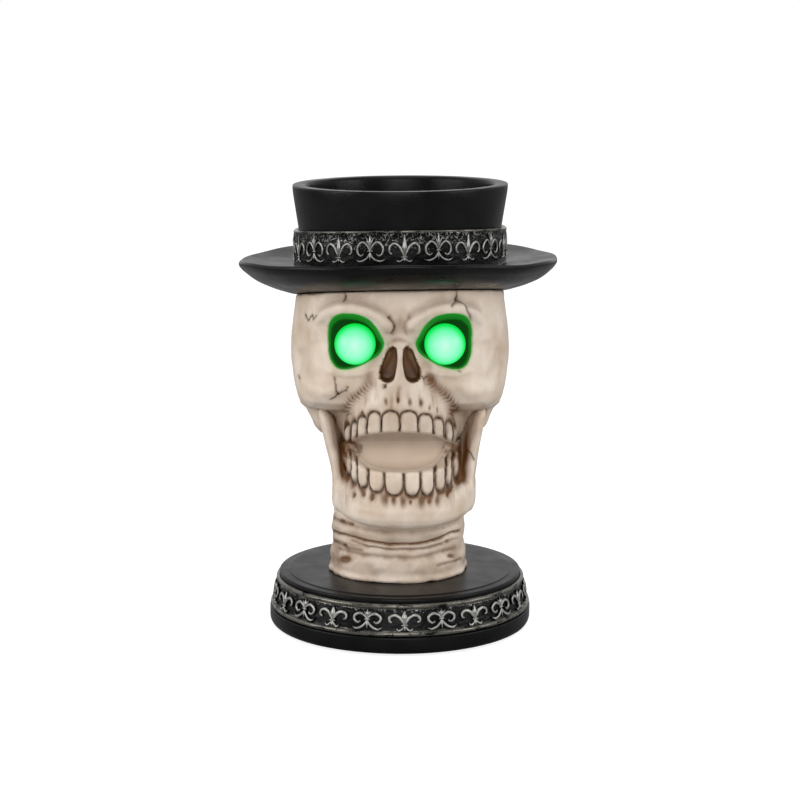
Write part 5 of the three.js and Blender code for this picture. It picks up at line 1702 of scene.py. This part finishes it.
# Cells: three AAA cells, each a steel can in a plain printed jacket, with a contact nub at one end
# and a seam where the jacket is shrunk over the rims.
jacket, tree, shader, place = start_material("printed_cell_jacket")
print_grain = add_node(tree, "ShaderNodeTexNoise", {"Vector": place, "Scale": 1 / (0.5 * MM), "Detail": 2})
tint = add_node(tree, "ShaderNodeMix", {
    "Factor": print_grain, "A": linear("#2C3138"), "B": linear("#3A4048"),
}, data_type="RGBA")
fill(shader, {"Base Color": tint, "Metallic": 0.35, "Roughness": 0.3})
NUB_LENGTH = 1
NUB_RADIUS = 1.9
RIM_WIDTH = 0.8
for i in (1, 2, 3):
    low, high = size_of(f"battery_{i}")
    forward = 1 if size_of(f"contact_spring_{i}")[0].x < low.x else -1
    start = low.x if forward == 1 else high.x
    radius = (high.y - low.y) / 2
    top = high.x - low.x - NUB_LENGTH
    middle_y = (low.y + radius) * MM
    middle_z = (low.z + high.z) / 2 * MM
    can = turn(f"cell_{i}", fillet([
        (0, 0.3, 0),
        (3.4, 0.3, 0.2),
        (3.6, 0, 0.2),
        (radius - 0.5, 0, 0.4),
        (radius - 0.3, 0.5, 0.2),
        (radius, 0.7, 0.3),
        (radius, top - 0.7, 0.3),
        (radius - 0.3, top - 0.4, 0.2),
        (radius - 0.6, top, 0.3),
        (NUB_RADIUS, top, 0.2),
        (NUB_RADIUS, top + NUB_LENGTH, 0.4),
        (0, top + NUB_LENGTH, 0),
    ], 3), 48)
    for corner in can.data.vertices:
        x, y, z = corner.co
        flattened = y * (high.z - low.z) / (2 * radius)
        corner.co = Vector((start * MM + forward * z, middle_y + forward * x, middle_z + flattened))
    settle(can, jacket, "cell_jacket", f"battery_{i}")
    can.data.materials.append(nickel)
    for face in can.data.polygons:
        out = math.hypot(face.center.y - middle_y, face.center.z - middle_z)
        face.material_index = 1 if out < (radius - RIM_WIDTH) * MM else 0


# Foot pads: four discs of black foam rubber, punched out and stuck under the plinth's edge, which
# are dull and full of fine pores.
foam, tree, shader, place = start_material("black_foam_rubber")
pores = add_node(tree, "ShaderNodeTexVoronoi", {"Vector": place, "Scale": 1 / (0.45 * MM)})
tint = add_node(tree, "ShaderNodeMix", {
    "Factor": pores, "A": linear("#090909"), "B": linear("#1E1E1E"),
}, data_type="RGBA")
bump = add_node(tree, "ShaderNodeBump", {"Height": pores, "Strength": 0.5, "Distance": 0.1 * MM})
fill(shader, {"Base Color": tint, "Roughness": 0.95, "Normal": bump})
for i in (1, 2, 3, 4):
    low, high = size_of(f"foot_pad_{i}")
    pad_radius = (high.y - low.y) / 2
    pad = turn(f"foam_pad_{i}", fillet([
        (0, 0, 0),
        (pad_radius, 0, 0.4),
        (pad_radius, high.z - low.z, 0.2),
        (0, high.z - low.z, 0),
    ], 3), 64)
    middle = (low + high) / 2
    for corner in pad.data.vertices:
        corner.co += Vector((middle.x, middle.y, low.z)) * MM
    settle(pad, foam, "felt_pad", f"foot_pad_{i}")
